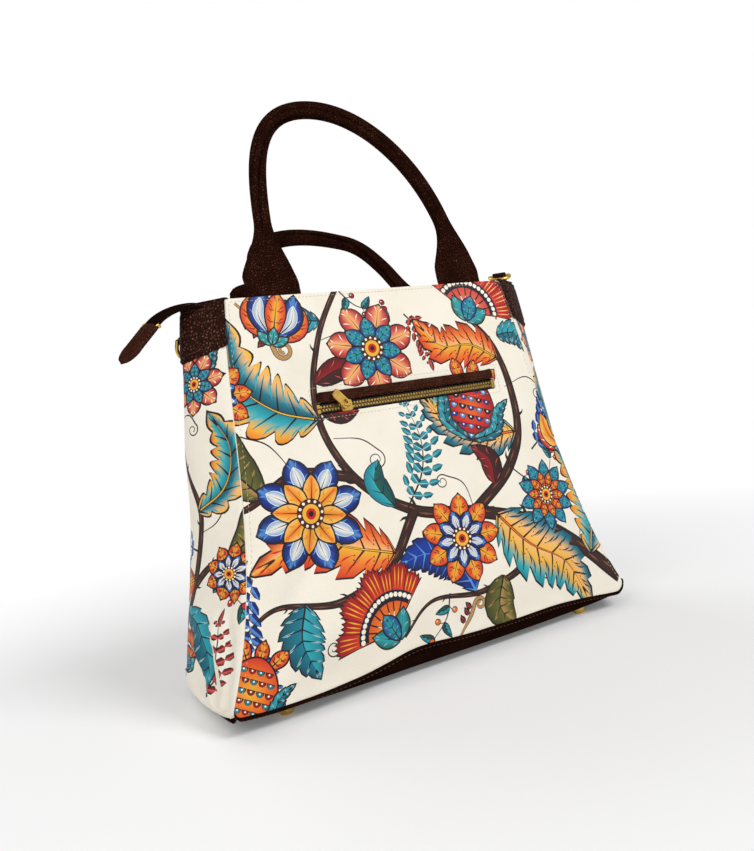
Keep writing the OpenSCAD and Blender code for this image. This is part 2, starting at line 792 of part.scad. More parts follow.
module pocket_pouch() {
    front = -wall - run;
    rear = 2 * sewn - lining_out;
    top = pocket_tape + run;
    width = pocket_w + 2 * pouch_over;
    color(cotton) at_pocket(0) translate([-width / 2, 0, 0]) rotate([90, 0, 90]) linear_extrude(width)
        polygon([[-top, front], [-pouch_h, front], [-pouch_h, rear], [top + pouch_t, rear],
            [top + pouch_t, front], [top, front], [top, rear + pouch_t], [pouch_t - pouch_h, rear + pouch_t],
            [pouch_t - pouch_h, front - pouch_t], [-top, front - pouch_t]]);
}

front_panel();
back_panel();
left_gusset();
right_gusset();
base_panel();
base_board();
feet();
foot_washers();
lining();
left_patch();
right_patch();
left_ring_strip();
right_ring_strip();
left_ring();
right_ring();
front_handle_leaves();
rear_handle_leaves();
front_handle();
rear_handle();
zip_tape_front();
zip_tape_rear();
zip_teeth_front();
zip_teeth_rear();
zip_stops();
zip_slider();
zip_pull();
zip_tail();
zip_end_tab();
pocket_lip();
pocket_tape_upper();
pocket_tape_lower();
pocket_teeth_upper();
pocket_teeth_lower();
pocket_stops();
pocket_slider();
pocket_pull();
pocket_pouch();
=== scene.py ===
import bmesh
import bpy
import math
import numpy as np
from mathutils import Matrix, Vector
from mathutils.geometry import delaunay_2d_cdt


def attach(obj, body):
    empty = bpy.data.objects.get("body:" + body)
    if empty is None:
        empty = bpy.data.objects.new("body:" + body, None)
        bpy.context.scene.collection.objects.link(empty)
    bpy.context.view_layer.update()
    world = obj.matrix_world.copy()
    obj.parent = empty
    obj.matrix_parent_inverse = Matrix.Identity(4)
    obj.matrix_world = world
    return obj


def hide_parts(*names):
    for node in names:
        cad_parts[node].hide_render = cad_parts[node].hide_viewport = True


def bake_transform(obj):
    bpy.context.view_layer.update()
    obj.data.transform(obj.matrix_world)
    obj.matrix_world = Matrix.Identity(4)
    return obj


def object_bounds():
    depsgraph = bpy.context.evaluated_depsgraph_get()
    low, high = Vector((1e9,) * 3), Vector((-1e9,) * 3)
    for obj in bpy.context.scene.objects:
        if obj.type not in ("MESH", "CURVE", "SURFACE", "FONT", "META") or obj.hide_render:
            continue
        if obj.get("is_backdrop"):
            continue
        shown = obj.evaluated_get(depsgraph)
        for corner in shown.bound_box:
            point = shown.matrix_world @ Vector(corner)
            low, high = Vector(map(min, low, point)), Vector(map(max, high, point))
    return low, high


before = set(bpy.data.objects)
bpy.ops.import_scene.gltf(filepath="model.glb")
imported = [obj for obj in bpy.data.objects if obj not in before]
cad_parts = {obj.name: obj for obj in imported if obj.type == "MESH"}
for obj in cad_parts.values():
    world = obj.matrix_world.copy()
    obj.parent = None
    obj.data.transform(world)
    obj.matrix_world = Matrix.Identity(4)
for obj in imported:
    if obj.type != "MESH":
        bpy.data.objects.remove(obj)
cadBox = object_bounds()
print("frame loaded")

mm = 0.001

# the sewn shell in millimetres, as the solids have it
shell = {"topWidth": 254, "bottomWidth": 360, "topDepth": 34, "bottomDepth": 128, "height": 300,
         "seam": 18, "waist": 12, "ridge": 27, "ridgeDip": 1.5, "wall": 1.6, "footTuck": 0.6,
         "creaseLow": 0.9, "creaseTop": 0.18, "cornerLeft": 4.5, "cornerRight": 10,
         "gussetFoot": {"left": -13.5, "right": -7.5}, "roll": 22}


def mix(a, b, t):
    return a + (b - a) * t


def smooth(t):
    t = np.clip(t, 0, 1)
    return t * t * (3 - 2 * t)


rise = shell["height"] - shell["seam"]
slope = math.atan((shell["bottomDepth"] - shell["topDepth"]) / 2 / rise)
slant = rise / math.cos(slope)


def halfWidth(v):
    return mix(shell["bottomWidth"], shell["topWidth"], v) / 2 - shell["waist"] * 6.75 * v * (1 - v) ** 2


def halfDepth(v):
    return mix(shell["bottomDepth"], shell["topDepth"], v) / 2


def bulge(v):
    return shell["ridge"] * (1 - shell["footTuck"] * (1 - v) ** 8)


def hump(q, v):
    c = mix(shell["creaseLow"], shell["creaseTop"], v)
    return 1 - (np.sqrt(q * q + c * c) - c) / (np.sqrt(1 + c * c) - c)


def steep(q, v):
    # how far the cloth's own thickness reaches sideways
    c = mix(shell["creaseLow"], shell["creaseTop"], v)
    fall = q / np.sqrt(q * q + c * c) / (np.sqrt(1 + c * c) - c)
    return np.minimum(2.2, np.sqrt(1 + (bulge(v) / halfDepth(v) * fall) ** 2))


def corner(gap, r):
    # lift of a bottom edge near its end, gap away from it
    return r - np.sqrt(np.maximum(0, r * r - np.clip(r - gap, 0, r) ** 2))


def bow(q, r):
    # the same along a gusset: a shallow bow from seam to seam
    return r * (1 - np.sqrt(np.maximum(0, 1 - np.asarray(q) ** 2)))


# bottom seam of the big panels: it bows up to the left of the middle and hangs to both ends
hemLine = ((-181, -3.0), (-165, -4.6), (-150, -5.5), (-120, -5.4), (-100, -4.2), (-80, -2.7), (-60, 0.4),
           (-40, 4.2), (-20, 4.1), (0, 2.4), (20, 1.4), (60, 1.0), (100, 1.6), (120, 0.4), (140, -1.2),
           (160, -3.6), (181, -5.0))
hemPlaces = np.linspace(-181, 181, 363)
soften = np.exp(-(np.linspace(-24, 24, 49) / 9) ** 2)
hemLevels = np.convolve(np.pad(np.interp(hemPlaces, *zip(*hemLine)), 24, "edge"), soften / soften.sum(),
                        "valid")
cornerFoot = (hemLevels[0] + shell["cornerLeft"], hemLevels[-1] + shell["cornerRight"])
hemEnds = tuple(halfWidth(foot / slant) for foot in cornerFoot)


def hem(x):
    lift = np.where(x < 0, corner(hemEnds[0] + x, shell["cornerLeft"]),
                    corner(hemEnds[1] - x, shell["cornerRight"]))
    return np.interp(x, hemPlaces, hemLevels) + lift


def onFront(x, s, out=0.0):
    # panel coordinates, across, up the slope and out of the cloth, to metres
    x, s, out = np.broadcast_arrays(np.asarray(x, float), s, out)
    y = -shell["bottomDepth"] / 2 + s * math.sin(slope) - out * math.cos(slope)
    z = shell["seam"] + s * math.cos(slope) + out * math.sin(slope)
    return np.stack([x, y, z], -1) * mm


# soft dents and rolls of the two big panels: ends in panel millimetres, half width and height
panelFolds = {
    "front": [
        {"ends": ((-172, 6), (-70, 120)), "wide": 15, "high": -7.0},
        {"ends": ((-150, -8), (-40, 84)), "wide": 19, "high": 6.4},
        {"ends": ((-176, 62), (-128, 118)), "wide": 14, "high": 2.2},
        {"ends": ((60, 10), (150, 70)), "wide": 20, "high": 2.2},
        {"ends": ((110, 100), (150, 30)), "wide": 16, "high": -2.0},
        {"ends": ((-120, 262), (-60, 228)), "wide": 14, "high": 1.6},
        {"ends": ((70, 240), (118, 268)), "wide": 13, "high": -1.4},
        {"ends": ((-60, 150), (60, 128)), "wide": 22, "high": -1.6}],
    "back": [
        {"ends": ((-160, 12), (-70, 90)), "wide": 18, "high": 3.0},
        {"ends": ((150, 20), (60, 110)), "wide": 20, "high": -2.6},
        {"ends": ((-60, 190), (70, 170)), "wide": 24, "high": -2.2},
        {"ends": ((90, 230), (30, 160)), "wide": 18, "high": 2.0}]}


def foldHeight(x, s, folds):
    total = np.zeros(np.broadcast(x, s).shape)
    for fold in folds:
        (x0, s0), (x1, s1) = fold["ends"]
        length = math.hypot(x1 - x0, s1 - s0)
        ux, us = (x1 - x0) / length, (s1 - s0) / length
        along = ((x - x0) * ux + (s - s0) * us) / length
        side = (x - x0) * -us + (s - s0) * ux
        ends = smooth(along / 0.3 + 0.35) * smooth((1 - along) / 0.3 + 0.35)
        total = total + fold["high"] * ends * np.exp(-(side / fold["wide"]) ** 2)
    return total


pocket = {"x": 11, "s": (209.5 - shell["seam"]) / math.cos(slope), "width": 168, "half": 4.6, "round": 2,
          "lipFoot": 4.3, "lipHeight": 8.2, "lipThick": 2.4, "lipIn": 1, "chain": -2.05}


swellLook = {"belly": 6.0, "fromSide": 46, "fromTop": 60, "fromHem": 44, "fromPocket": 52,
             "turnWide": 2.6, "panelTurn": 1.1, "gussetTurn": 0.9}


def panelSwell(x, s, side):
    # gentle belly and folds, none at the seams, the top edge and the pocket
    v = np.clip(s / slant, 0, 1)
    edge = halfWidth(v) - np.abs(x)
    calm = smooth(edge / swellLook["fromSide"]) * smooth((slant - s) / swellLook["fromTop"])
    calm = calm * smooth((s - hem(x)) / swellLook["fromHem"])
    out = calm * (swellLook["belly"] + foldHeight(x, s, panelFolds[side]))
    if side == "front":
        dx = np.maximum(np.abs(x - pocket["x"]) - pocket["width"] / 2 - 4, 0)
        ds = np.maximum(np.abs(s - pocket["s"] - 5) - 14, 0)
        out = out * smooth(np.hypot(dx, ds) / swellLook["fromPocket"])
    # the cloth rolls in where it is turned at the seams
    near = np.minimum(edge, s - hem(x) + 1.2)
    return out - swellLook["panelTurn"] * np.clip(1 - near / swellLook["turnWide"], 0, 1) ** 2


def frontPlace(x, s, out=0.0):
    return onFront(x, s, out + panelSwell(x, s, "front"))


def backPlace(x, s, out=0.0):
    point = onFront(-np.asarray(x, float), s, out + panelSwell(-np.asarray(x, float), s, "back"))
    return point * np.array([1, -1, 1])


# a gusset laid flat: half its girth at each level
girthLevels = np.linspace(0, 1, 41)
girthSteps = np.linspace(0, 1, 61)


def halfGirthAt(v):
    y = girthSteps * halfDepth(v)
    x = bulge(v) * hump(girthSteps, v)
    return np.sum(np.hypot(np.diff(x), np.diff(y)))


girthTable = np.array([halfGirthAt(v) for v in girthLevels])


def halfGirth(v):
    return np.interp(v, girthLevels, girthTable)


# puckers of the gussets: level, place across from -1 to 1, reach in both, height
gussetPuckers = {
    "left": [
        {"at": (0.24, 0.62), "reach": (0.045, 0.34), "high": -3.6, "lean": 0.10},
        {"at": (0.30, 0.70), "reach": (0.035, 0.30), "high": 2.2, "lean": 0.10},
        {"at": (0.19, 0.66), "reach": (0.030, 0.30), "high": 2.0, "lean": 0.06},
        {"at": (0.06, 0.40), "reach": (0.07, 0.13), "high": -3.4, "lean": 0.0},
        {"at": (0.05, 0.70), "reach": (0.06, 0.10), "high": -2.8, "lean": 0.0},
        {"at": (0.05, 0.05), "reach": (0.08, 0.16), "high": -2.4, "lean": 0.0},
        {"at": (0.52, 0.55), "reach": (0.07, 0.5), "high": -1.8, "lean": 0.14},
        {"at": (0.62, -0.1), "reach": (0.10, 0.5), "high": 1.6, "lean": 0.1}],
    "right": [
        {"at": (0.22, 0.5), "reach": (0.05, 0.36), "high": -3.0, "lean": -0.08},
        {"at": (0.28, 0.55), "reach": (0.04, 0.3), "high": 1.8, "lean": -0.08},
        {"at": (0.05, -0.45), "reach": (0.06, 0.14), "high": -2.8, "lean": 0.0},
        {"at": (0.06, 0.3), "reach": (0.07, 0.14), "high": -2.6, "lean": 0.0},
        {"at": (0.5, -0.4), "reach": (0.07, 0.5), "high": -1.8, "lean": 0.1}]}


# gathers that fan out of a lower front corner: ends as way from the front seam and height
gussetGathers = [
    {"ends": ((7, -8), (13, 66)), "wide": 2.6, "high": -3.6},
    {"ends": ((12, -8), (27, 60)), "wide": 3.2, "high": 2.8},
    {"ends": ((15, -8), (36, 52)), "wide": 2.8, "high": -4.0},
    {"ends": ((21, -8), (52, 42)), "wide": 3.4, "high": 3.0},
    {"ends": ((25, -8), (64, 30)), "wide": 3.0, "high": -3.6},
    {"ends": ((33, -8), (78, 18)), "wide": 3.6, "high": 2.4}]


def gussetSwell(q, v, s, side):
    total = np.zeros(np.broadcast(q, v).shape)
    for pucker in gussetPuckers[side]:
        dq = (q - pucker["at"][1]) / pucker["reach"][1]
        dv = (v - pucker["at"][0] - pucker["lean"] * (q - pucker["at"][1])) / pucker["reach"][0]
        total = total + pucker["high"] * np.exp(-dq * dq - dv * dv)
    front = q if side == "left" else -q
    total = total + foldHeight((1 - front) * halfGirth(v), s, gussetGathers)
    calm = (smooth((1 - np.abs(q)) / 0.12) * smooth((s - shell["gussetFoot"][side]) / 9)
            * smooth((0.84 - v) / 0.1))
    return calm * total


def gussetPoint(u, s, out, side):
    # u runs to the right of someone who faces this gusset
    v = np.clip(np.asarray(s, float) / slant, 0, 1)
    q = np.clip(u / halfGirth(v), -1, 1)
    reach = halfDepth(v) - shell["wall"] / math.cos(slope) - 0.1
    y = q * reach
    lift = hump(q * reach / halfDepth(v), v)
    near = (1 - np.abs(q)) * halfGirth(v)
    edge = swellLook["gussetTurn"] * np.clip(1 - near / swellLook["turnWide"], 0, 1) ** 2
    x = (halfWidth(v) + bulge(v) * lift + (out - edge) * steep(q, v) + gussetSwell(q, v, s, side)
         - rollIn(s))
    z = shell["seam"] + rise * np.asarray(s, float) / slant - shell["ridgeDip"] * lift * v ** 6
    return x, y, z


def rollIn(s):
    # the cloth turns under at the bottom
    fall = np.clip(6 - np.asarray(s, float), 0, shell["roll"] - 0.5)
    return shell["roll"] - np.sqrt(shell["roll"] ** 2 - fall ** 2)


def rightPlace(u, s, out=0.0):
    x, y, z = gussetPoint(u, s, out, "right")
    return np.stack([x, y, z], -1) * mm


def leftPlace(u, s, out=0.0):
    x, y, z = gussetPoint(u, s, out, "left")
    return np.stack([-x, -y, z], -1) * mm


# shader maths: one wrapped socket
class Wire:
    def __init__(self, tree, socket=None):
        self.tree, self.socket = tree, socket

    def make(self, kind, settings=None, inputs=None, output=0):
        node = self.tree.nodes.new(kind)
        for name, value in (settings or {}).items():
            if name == "stops":
                for i, (place, colour) in enumerate(value):
                    stop = node.color_ramp.elements[i] if i < 2 else node.color_ramp.elements.new(place)
                    stop.position, stop.color = place, (*colour, 1)
            else:
                setattr(node, name, value)
        for key, value in (inputs or {}).items():
            if isinstance(value, Wire):
                self.tree.links.new(value.socket, node.inputs[key])
            else:
                node.inputs[key].default_value = value
        return Wire(self.tree, node.outputs[output])

    def maths(self, operation, a, b=0.0):
        return self.make("ShaderNodeMath", {"operation": operation}, {0: a, 1: b})

    def __add__(self, b):
        return self.maths("ADD", self, b)

    def __radd__(self, b):
        return self.maths("ADD", b, self)

    def __sub__(self, b):
        return self.maths("SUBTRACT", self, b)

    def __rsub__(self, b):
        return self.maths("SUBTRACT", b, self)

    def __mul__(self, b):
        return self.maths("MULTIPLY", self, b)

    def sine(self):
        return self.maths("SINE", self)

    def place(self):
        return self.make("ShaderNodeTexCoord", None, None, "Object")

    def noise(self, place, scale, detail, output=0):
        inputs = {"Vector": place, "Scale": scale, "Detail": detail}
        return self.make("ShaderNodeTexNoise", None, inputs, output)

    def split(self, count):
        node = self.make("ShaderNodeSeparateXYZ", None, {0: self}).socket.node
        return [Wire(self.tree, node.outputs[i]) for i in range(count)]

    def ray(self, kind):
        # 1 for rays of this kind
        return self.make("ShaderNodeLightPath", None, None, kind)

    def limit(self, low, high):
        return self.make("ShaderNodeMapRange", {"clamp": True},
                         {0: self, 1: low, 2: high, 3: 0.0, 4: 1.0})

    def blend(self, a, b):
        # colour a where this value is 0 and b where it is 1
        return self.make("ShaderNodeMix", {"data_type": "RGBA"}, {0: self, 6: a, 7: b}, 2)


def newMaterial(name, **constants):
    material = bpy.data.materials.new(name)
    material.use_nodes = True
    tree = material.node_tree
    shader = tree.nodes["Principled BSDF"]
    for key, value in constants.items():
        shader.inputs[key.replace("_", " ")].default_value = value
    return material, Wire(tree), shader


def feed(wire, shader, key):
    wire.tree.links.new(wire.socket, shader.inputs[key])


def bumpInto(wire, shader, height, strength, distance):
    feed(wire.make("ShaderNodeBump", None,
                   {"Strength": strength, "Distance": distance, "Height": height}),
         shader, "Normal")


def linear(code):
    parts = np.array([int(code[i:i + 2], 16) / 255 for i in (1, 3, 5)])
    return np.where(parts <= 0.04045, parts / 12.92, ((parts + 0.055) / 1.055) ** 2.4)


def paintOf(code):
    return (*[float(c) for c in linear(code)], 1)


# in each leather look, crease is painted shade in the crevices between pebbles, top is a painted
# highlight on the pebble tops, and dark and light are the leather's own blotchy tone
leatherLooks = {
    "pebbled": {"crease": "#150907", "dark": "#2b140d", "light": "#3c2017", "top": "#775144",
                "pebble": 430, "depth": 0.9, "rough": 0.5, "shine": 0.05},
    "handle": {"crease": "#180a07", "dark": "#241009", "light": "#331911", "top": "#563428",
               "pebble": 540, "depth": 0.8, "rough": 0.6, "shine": 0.0},
    "smooth": {"crease": "#120805", "dark": "#190c08", "light": "#24130d", "top": "#28160f",
               "pebble": 1100, "depth": 0.2, "rough": 0.6, "shine": 0.0},
    "lip": {"crease": "#1f0e0a", "dark": "#34190f", "light": "#4b2a20", "top": "#694438", "pebble": 800,
            "depth": 0.4, "rough": 0.55, "shine": 0.0}}


def makeLeather(name):
    look = leatherLooks[name]
    material, start, shader = newMaterial(name + "Leather", Specular_IOR_Level=look["shine"],
                                          Specular_Tint=(0.95, 0.62, 0.5, 1))
    place = start.place()
    warp = start.noise(place, 180.0, 2.0, "Color")
    bent = start.make("ShaderNodeVectorMath", {"operation": "MULTIPLY_ADD"},
                      {0: warp, 1: (0.0012, 0.0012, 0.0012), 2: place})
    cells = start.make("ShaderNodeTexVoronoi", {"feature": "DISTANCE_TO_EDGE"},
                       {"Vector": bent, "Scale": float(look["pebble"])})
    dome = cells.limit(0.0, 0.42)
    blotch = start.noise(place, 60.0, 4.0)
    fine = start.noise(place, 2600.0, 2.0)
    body = blotch.limit(0.3, 0.7).blend(paintOf(look["dark"]), paintOf(look["light"]))
    # painted highlight: the pebble tops are painted lighter
    paintedHighlight = (dome * (0.35 + blotch)).limit(0.4, 0.95).blend(body, paintOf(look["top"]))
    # painted shade: the crevices between pebbles are painted darker
    feed(dome.limit(0.0, 0.3).blend(paintOf(look["crease"]), paintedHighlight), shader, "Base Color")
    feed(look["rough"] - dome * 0.10 + (1 - blotch) * 0.12, shader, "Roughness")
    bumpInto(start, shader, dome * 0.9 + fine * 0.12 + blotch * 0.4, look["depth"], 0.0016)
    return material


leather = makeLeather("pebbled")
smoothLeather = makeLeather("smooth")
lipLeather = makeLeather("lip")
handleLeather = makeLeather("handle")


def makeCanvas():
    material, start, shader = newMaterial("printedCanvas", Specular_IOR_Level=0.32, Sheen_Weight=0.06,
                                          Sheen_Roughness=0.4)
    colour = start.make("ShaderNodeAttribute", {"attribute_name": "print"}, None, "Color")
    flat = start.make("ShaderNodeUVMap", {"uv_map": "cloth"})
    across, up = flat.split(2)
    # threads run both ways
    threadsPerMm = 1.5
    turn = 2 * math.pi * threadsPerMm
    weft, warp = (across * turn).sine(), (up * turn).sine()
    weave = weft * warp * 0.5 + 0.5
    slub = start.make("ShaderNodeTexNoise", None,
                      {"Vector": flat, "Scale": 0.9, "Detail": 5.0, "Roughness": 0.65})
    cloud = start.noise(flat, 0.03, 3.0)
    # the weave is painted darker between the threads as painted shade, and the slub noise is the threads'
    # own uneven tone
    shade = (weave * 0.35 + slub * 0.65).limit(0.2, 0.75)
    weaveShadeAndSlub = shade.blend((0.86, 0.84, 0.80, 1), (1, 1, 1, 1))
    tint = {"data_type": "RGBA", "blend_type": "MULTIPLY"}
    toned = start.make("ShaderNodeMix", tint, {0: 1.0, 6: colour, 7: weaveShadeAndSlub}, 2)
    aged = cloud.limit(0.35, 0.75).blend((1, 1, 1, 1), (0.955, 0.94, 0.905, 1))
    feed(start.make("ShaderNodeMix", tint, {0: 1.0, 6: toned, 7: aged}, 2), shader, "Base Color")
    feed(0.60 - weave * 0.05 + slub * 0.12, shader, "Roughness")
    bumpInto(start, shader, weave * 0.5 + slub * 0.9, 0.22, 0.0004)
    return material


canvas = makeCanvas()


def makeWoven(name, dark, light, pitch, rough, diagonal):
    # narrow woven goods: ribs of thread on object coordinates
    material, start, shader = newMaterial(name, Specular_IOR_Level=0.0)
    place = start.place()
    x, y, z = place.split(3)
    turn = 2 * math.pi / (pitch * mm)
    ribs = (x * turn + (y + z) * turn * diagonal).sine() * ((y + z) * turn).sine() * 0.5 + 0.5
    fuzz = start.noise(place, 700.0, 3.0)
    tone = (ribs * 0.6 + fuzz * 0.4).limit(0.15, 0.85)
    feed(tone.blend(paintOf(dark), paintOf(light)), shader, "Base Color")
    feed(rough + fuzz * 0.12, shader, "Roughness")
    bumpInto(start, shader, ribs * 0.7 + fuzz * 0.5, 0.35, 0.0004)
    return material


tapeCloth = makeWoven("zipTapeCloth", "#0a0504", "#21120d", 1.1, 0.8, 0.5)
cottonCloth = makeWoven("liningCotton", "#9a8257", "#c8b184", 0.8, 0.8, 0.0)
boardFibre = makeWoven("baseBoard", "#6b4e31", "#8f6c46", 3.0, 0.85, 0.2)


def makeThread(name, dark, light):
    material, start, shader = newMaterial(name, Specular_IOR_Level=0.3)
    place = start.place()
    ply = start.noise(place, 1800.0, 2.0)
    feed(ply.limit(0.3, 0.7).blend(paintOf(dark), paintOf(light)), shader, "Base Color")
    feed(0.6 + ply * 0.2, shader, "Roughness")
    bumpInto(start, shader, ply, 0.4, 0.0002)
    return material


brownThread = makeThread("brownThread", "#3a2017", "#6d4330")
creamThread = makeThread("creamThread", "#a8977b", "#d9c9a8")


def makeGold():
    material, start, shader = newMaterial("goldMetal", Metallic=1.0)
    place = start.place()
    cloud = start.noise(place, 260.0, 3.0)
    drawn = start.make("ShaderNodeMapping", None, {"Vector": place, "Scale": (400.0, 4200.0, 4200.0)})
    scratch = start.noise(drawn, 1.0, 2.0)
    feed(cloud.limit(0.3, 0.8).blend(paintOf("#e2bd68"), paintOf("#b98d3e")), shader, "Base Color")
    feed(0.16 + cloud * 0.14 + scratch * 0.12, shader, "Roughness")
    bumpInto(start, shader, scratch * 0.6 + cloud * 0.4, 0.08, 0.0003)
    return material


gold = makeGold()


def makeChain(name, way, middle):
    # metal teeth along the middle line, a woven bead on both sides of them
    material, start, shader = newMaterial(name)
    place = start.place()
    across = start.make("ShaderNodeVectorMath", {"operation": "DOT_PRODUCT"}, {0: place, 1: way}, "Value")
    bead = start.maths("ABSOLUTE", across - middle * mm).limit(0.0021, 0.0022)
    cloud = start.noise(place, 500.0, 2.0)
    metal = cloud.limit(0.3, 0.8).blend(paintOf("#e6c573"), paintOf("#b98d3e"))
    feed(bead.blend(metal, paintOf("#150b08")), shader, "Base Color")
    feed(1 - bead, shader, "Metallic")
    feed(0.22 + bead * 0.6 + cloud * 0.1, shader, "Roughness")
    return material


mainChain = makeChain("mainChain", (0, 1, 0), 0)
pocketMiddle = pocket["s"] - shell["bottomDepth"] / 2 * math.sin(slope) + shell["seam"] * math.cos(slope)
pocketChain = makeChain("pocketChain", (0, math.sin(slope), math.cos(slope)), pocketMiddle)
print("materials made")

# the print: colour fields on flat cloth, all sizes in millimetres
inks = {"ground": "#f3ede0", "ink": "#1d0c09", "bark": "#351811", "barkLight": "#7c4b30",
        "teal": "#0d7a90", "aqua": "#2aa9b6", "deepTeal": "#083e50", "yellow": "#efb537",
        "peach": "#f5bd78", "orange": "#ea6f22", "red": "#cc231c", "crimson": "#8e1219",
        "maroon": "#451013", "royal": "#10369a", "sky": "#5796d4", "navy": "#0b1233", "olive": "#69682a",
        "oliveDark": "#383d19", "tan": "#b98f57", "green": "#135a4b", "rose": "#d8544b",
        "cream": "#fbf4e2", "mist": "#a5c8cd"}
inks = {name: linear(code) for name, code in inks.items()}


def tones(t, names):
    # runs through the named colours as t goes from 0 to 1
    stops = np.linspace(0, 1, len(names))
    table = np.array([inks[n] for n in names])
    return np.stack([np.interp(t, stops, table[:, i]) for i in range(3)], -1)


def flow(points, count):
    # smooth line through a few points
    p = np.asarray(points, float)
    p = np.vstack([2 * p[0] - p[1], p, 2 * p[-1] - p[-2]])
    t = np.linspace(0, len(p) - 3, count + 1)
    i = np.minimum(t.astype(int), len(p) - 4)
    f = (t - i)[:, None]
    a, b, c, d = p[i], p[i + 1], p[i + 2], p[i + 3]
    return 0.5 * (2 * b + (c - a) * f + (2 * a - 5 * b + 4 * c - d) * f ** 2
                  + (3 * b - a - 3 * c + d) * f ** 3)


def runs(path):
    # tangents and left-hand normals
    tangent = np.gradient(path, axis=0)
    tangent = tangent / np.maximum(np.linalg.norm(tangent, axis=1), 1e-9)[:, None]
    return tangent, np.stack([-tangent[:, 1], tangent[:, 0]], -1)


def atShare(path, t):
    place = np.asarray(t, float) * (len(path) - 1)
    steps = np.arange(len(path))
    tangent, normal = runs(path)
    pick = lambda rows: np.stack([np.interp(place, steps, rows[:, k]) for k in (0, 1)], -1)
    return pick(path), pick(tangent), pick(normal)


def polar(centre, radius, angle):
    angle = np.asarray(angle, float)
    return (np.asarray(centre) + np.stack([np.cos(angle), np.sin(angle)], -1)
            * np.asarray(radius)[..., None])


def addShape(cloth, edge, paint):
    cloth.append((np.asarray(edge, float), paint))


def addStroke(cloth, path, width, paint, start=0.15, end=0.1, crest=0.35):
    # brush line that swells to its width and thins out again
    path = np.asarray(path, float)
    t = np.linspace(0, 1, len(path))
    rising = mix(start, 1, smooth(t / crest))
    falling = mix(1, end, smooth((t - crest) / (1 - crest)))
    half = width / 2 * np.where(t < crest, rising, falling)
    normal = runs(path)[1] * half[:, None]
    addShape(cloth, np.vstack([path + normal, (path - normal)[::-1]]), paint)


def addDot(cloth, centre, radius, paint, sides=8):
    addShape(cloth, polar(centre, np.full(sides, radius), np.arange(sides) * 2 * np.pi / sides), paint)


# how far a leaf's teeth lean forward
toothSweep = 0.35


def leafSide(spine, side, half, look, grow=0.0):
    teeth, depth = look.get("teeth", 0), look.get("depth", 0.3)
    power = math.log(0.5) / math.log(look.get("peak", 0.4))
    if teeth and look.get("lobes"):
        t = np.linspace(0, 0.995, teeth * 6 + 1)
        flare = 1 - depth * (1 - np.abs(np.sin(np.pi * teeth * t)) ** 0.6)
    elif teeth:
        t = np.concatenate([[k / teeth, (k + 0.4) / teeth, (k + 0.93) / teeth] for k in range(teeth)])
        flare = np.tile([1 - depth, 1 - depth * 0.3, 1.0], teeth)
    else:
        t = np.linspace(0, 0.99, look.get("steps", 12))
        flare = np.ones(len(t))
    width = (half * np.sin(np.pi * np.clip(t, 0.001, 0.999) ** power) ** look.get("blunt", 0.75) * flare
             + grow)
    point, tangent, normal = atShare(spine, t)
    lean = (flare - flare.min()) * width * toothSweep
    return point + normal * (side * width)[:, None] + tangent * lean[:, None], width, t


def addLeaf(cloth, spine, half, look):
    # outline, two shaded halves, veins, brush streaks, dots and a midrib
    spine = flow(spine, 30) if len(spine) < 20 else np.asarray(spine)
    grow = look.get("line", 0.9) * 1.35
    tip = spine[-1] + runs(spine)[0][-1] * grow * 1.6
    outer = {side: leafSide(spine, side, half, look, grow)[0] for side in (-1, 1)}
    addShape(cloth, np.vstack([outer[1], tip, outer[-1][::-1]]), inks[look.get("ink", "ink")])
    power = math.log(0.5) / math.log(look.get("peak", 0.4))
    step = look.get("teeth", 0) or look.get("ribs", 5)
    for side, names in ((1, look["left"]), (-1, look.get("right", look["left"]))):
        edge, width, t = leafSide(spine, side, half, look)

        def shade(p, names=names):
            gap = np.linalg.norm(p[:, None, :] - spine[None], axis=2)
            share = gap.argmin(1) / (len(spine) - 1)
            reach = half * np.sin(np.pi * np.clip(share, 0.02, 0.98) ** power) ** 0.75 + 0.6
            return tones(np.clip(gap.min(1) / reach, 0, 1), names)

        addShape(cloth, np.vstack([spine, edge[::-1]]), shade)
        for k in range(step):
            for j in range(look.get("streaks", 2)):
                near, far = (k + 0.30 + 0.28 * j) / step, (k + 0.78 + 0.30 * j) / step
                if far > 0.97:
                    continue
                (a, b), _, (na, nb) = atShare(spine, [near, far])
                reach = np.interp(far, t, width)
                line = flow([a + na * side * reach * 0.34, mix(a, b, 0.6) + nb * side * reach * 0.58,
                             b + nb * side * reach * 0.86], 5)
                addStroke(cloth, line, look.get("streakWide", 1.5), inks[look.get("streak", names[-1])],
                          0.1, 0.2, 0.6)
            if look.get("vein"):
                near, far = (k + 0.08) / step, min((k + 0.80) / step, 0.98)
                (a, b), _, (na, nb) = atShare(spine, [near, far])
                reach = np.interp(far, t, width)
                line = flow([a, mix(a, b, 0.5) + nb * side * reach * 0.42, b + nb * side * reach * 0.88],
                            6)
                addStroke(cloth, line, look.get("veinWide", 1.0) * 1.3, inks[look["vein"]], 1.0, 0.15,
                          0.1)
            if look.get("dots") and k < step - 1:
                (a,), _, (na,) = atShare(spine, [(k + 0.55) / step])
                reach = np.interp((k + 0.55) / step, t, width)
                for f in (0.24, 0.40, 0.56):
                    addDot(cloth, a + na * side * reach * f, 0.62, inks[look["dots"]], 6)
    addStroke(cloth, spine[:-2], look.get("rib", 1.8), inks[look.get("ribInk", "ink")], 1.0, 0.15, 0.05)
    if look.get("core"):
        addStroke(cloth, spine[1:-4], look.get("rib", 1.8) * 0.45, inks[look["core"]], 0.9, 0.2, 0.1)


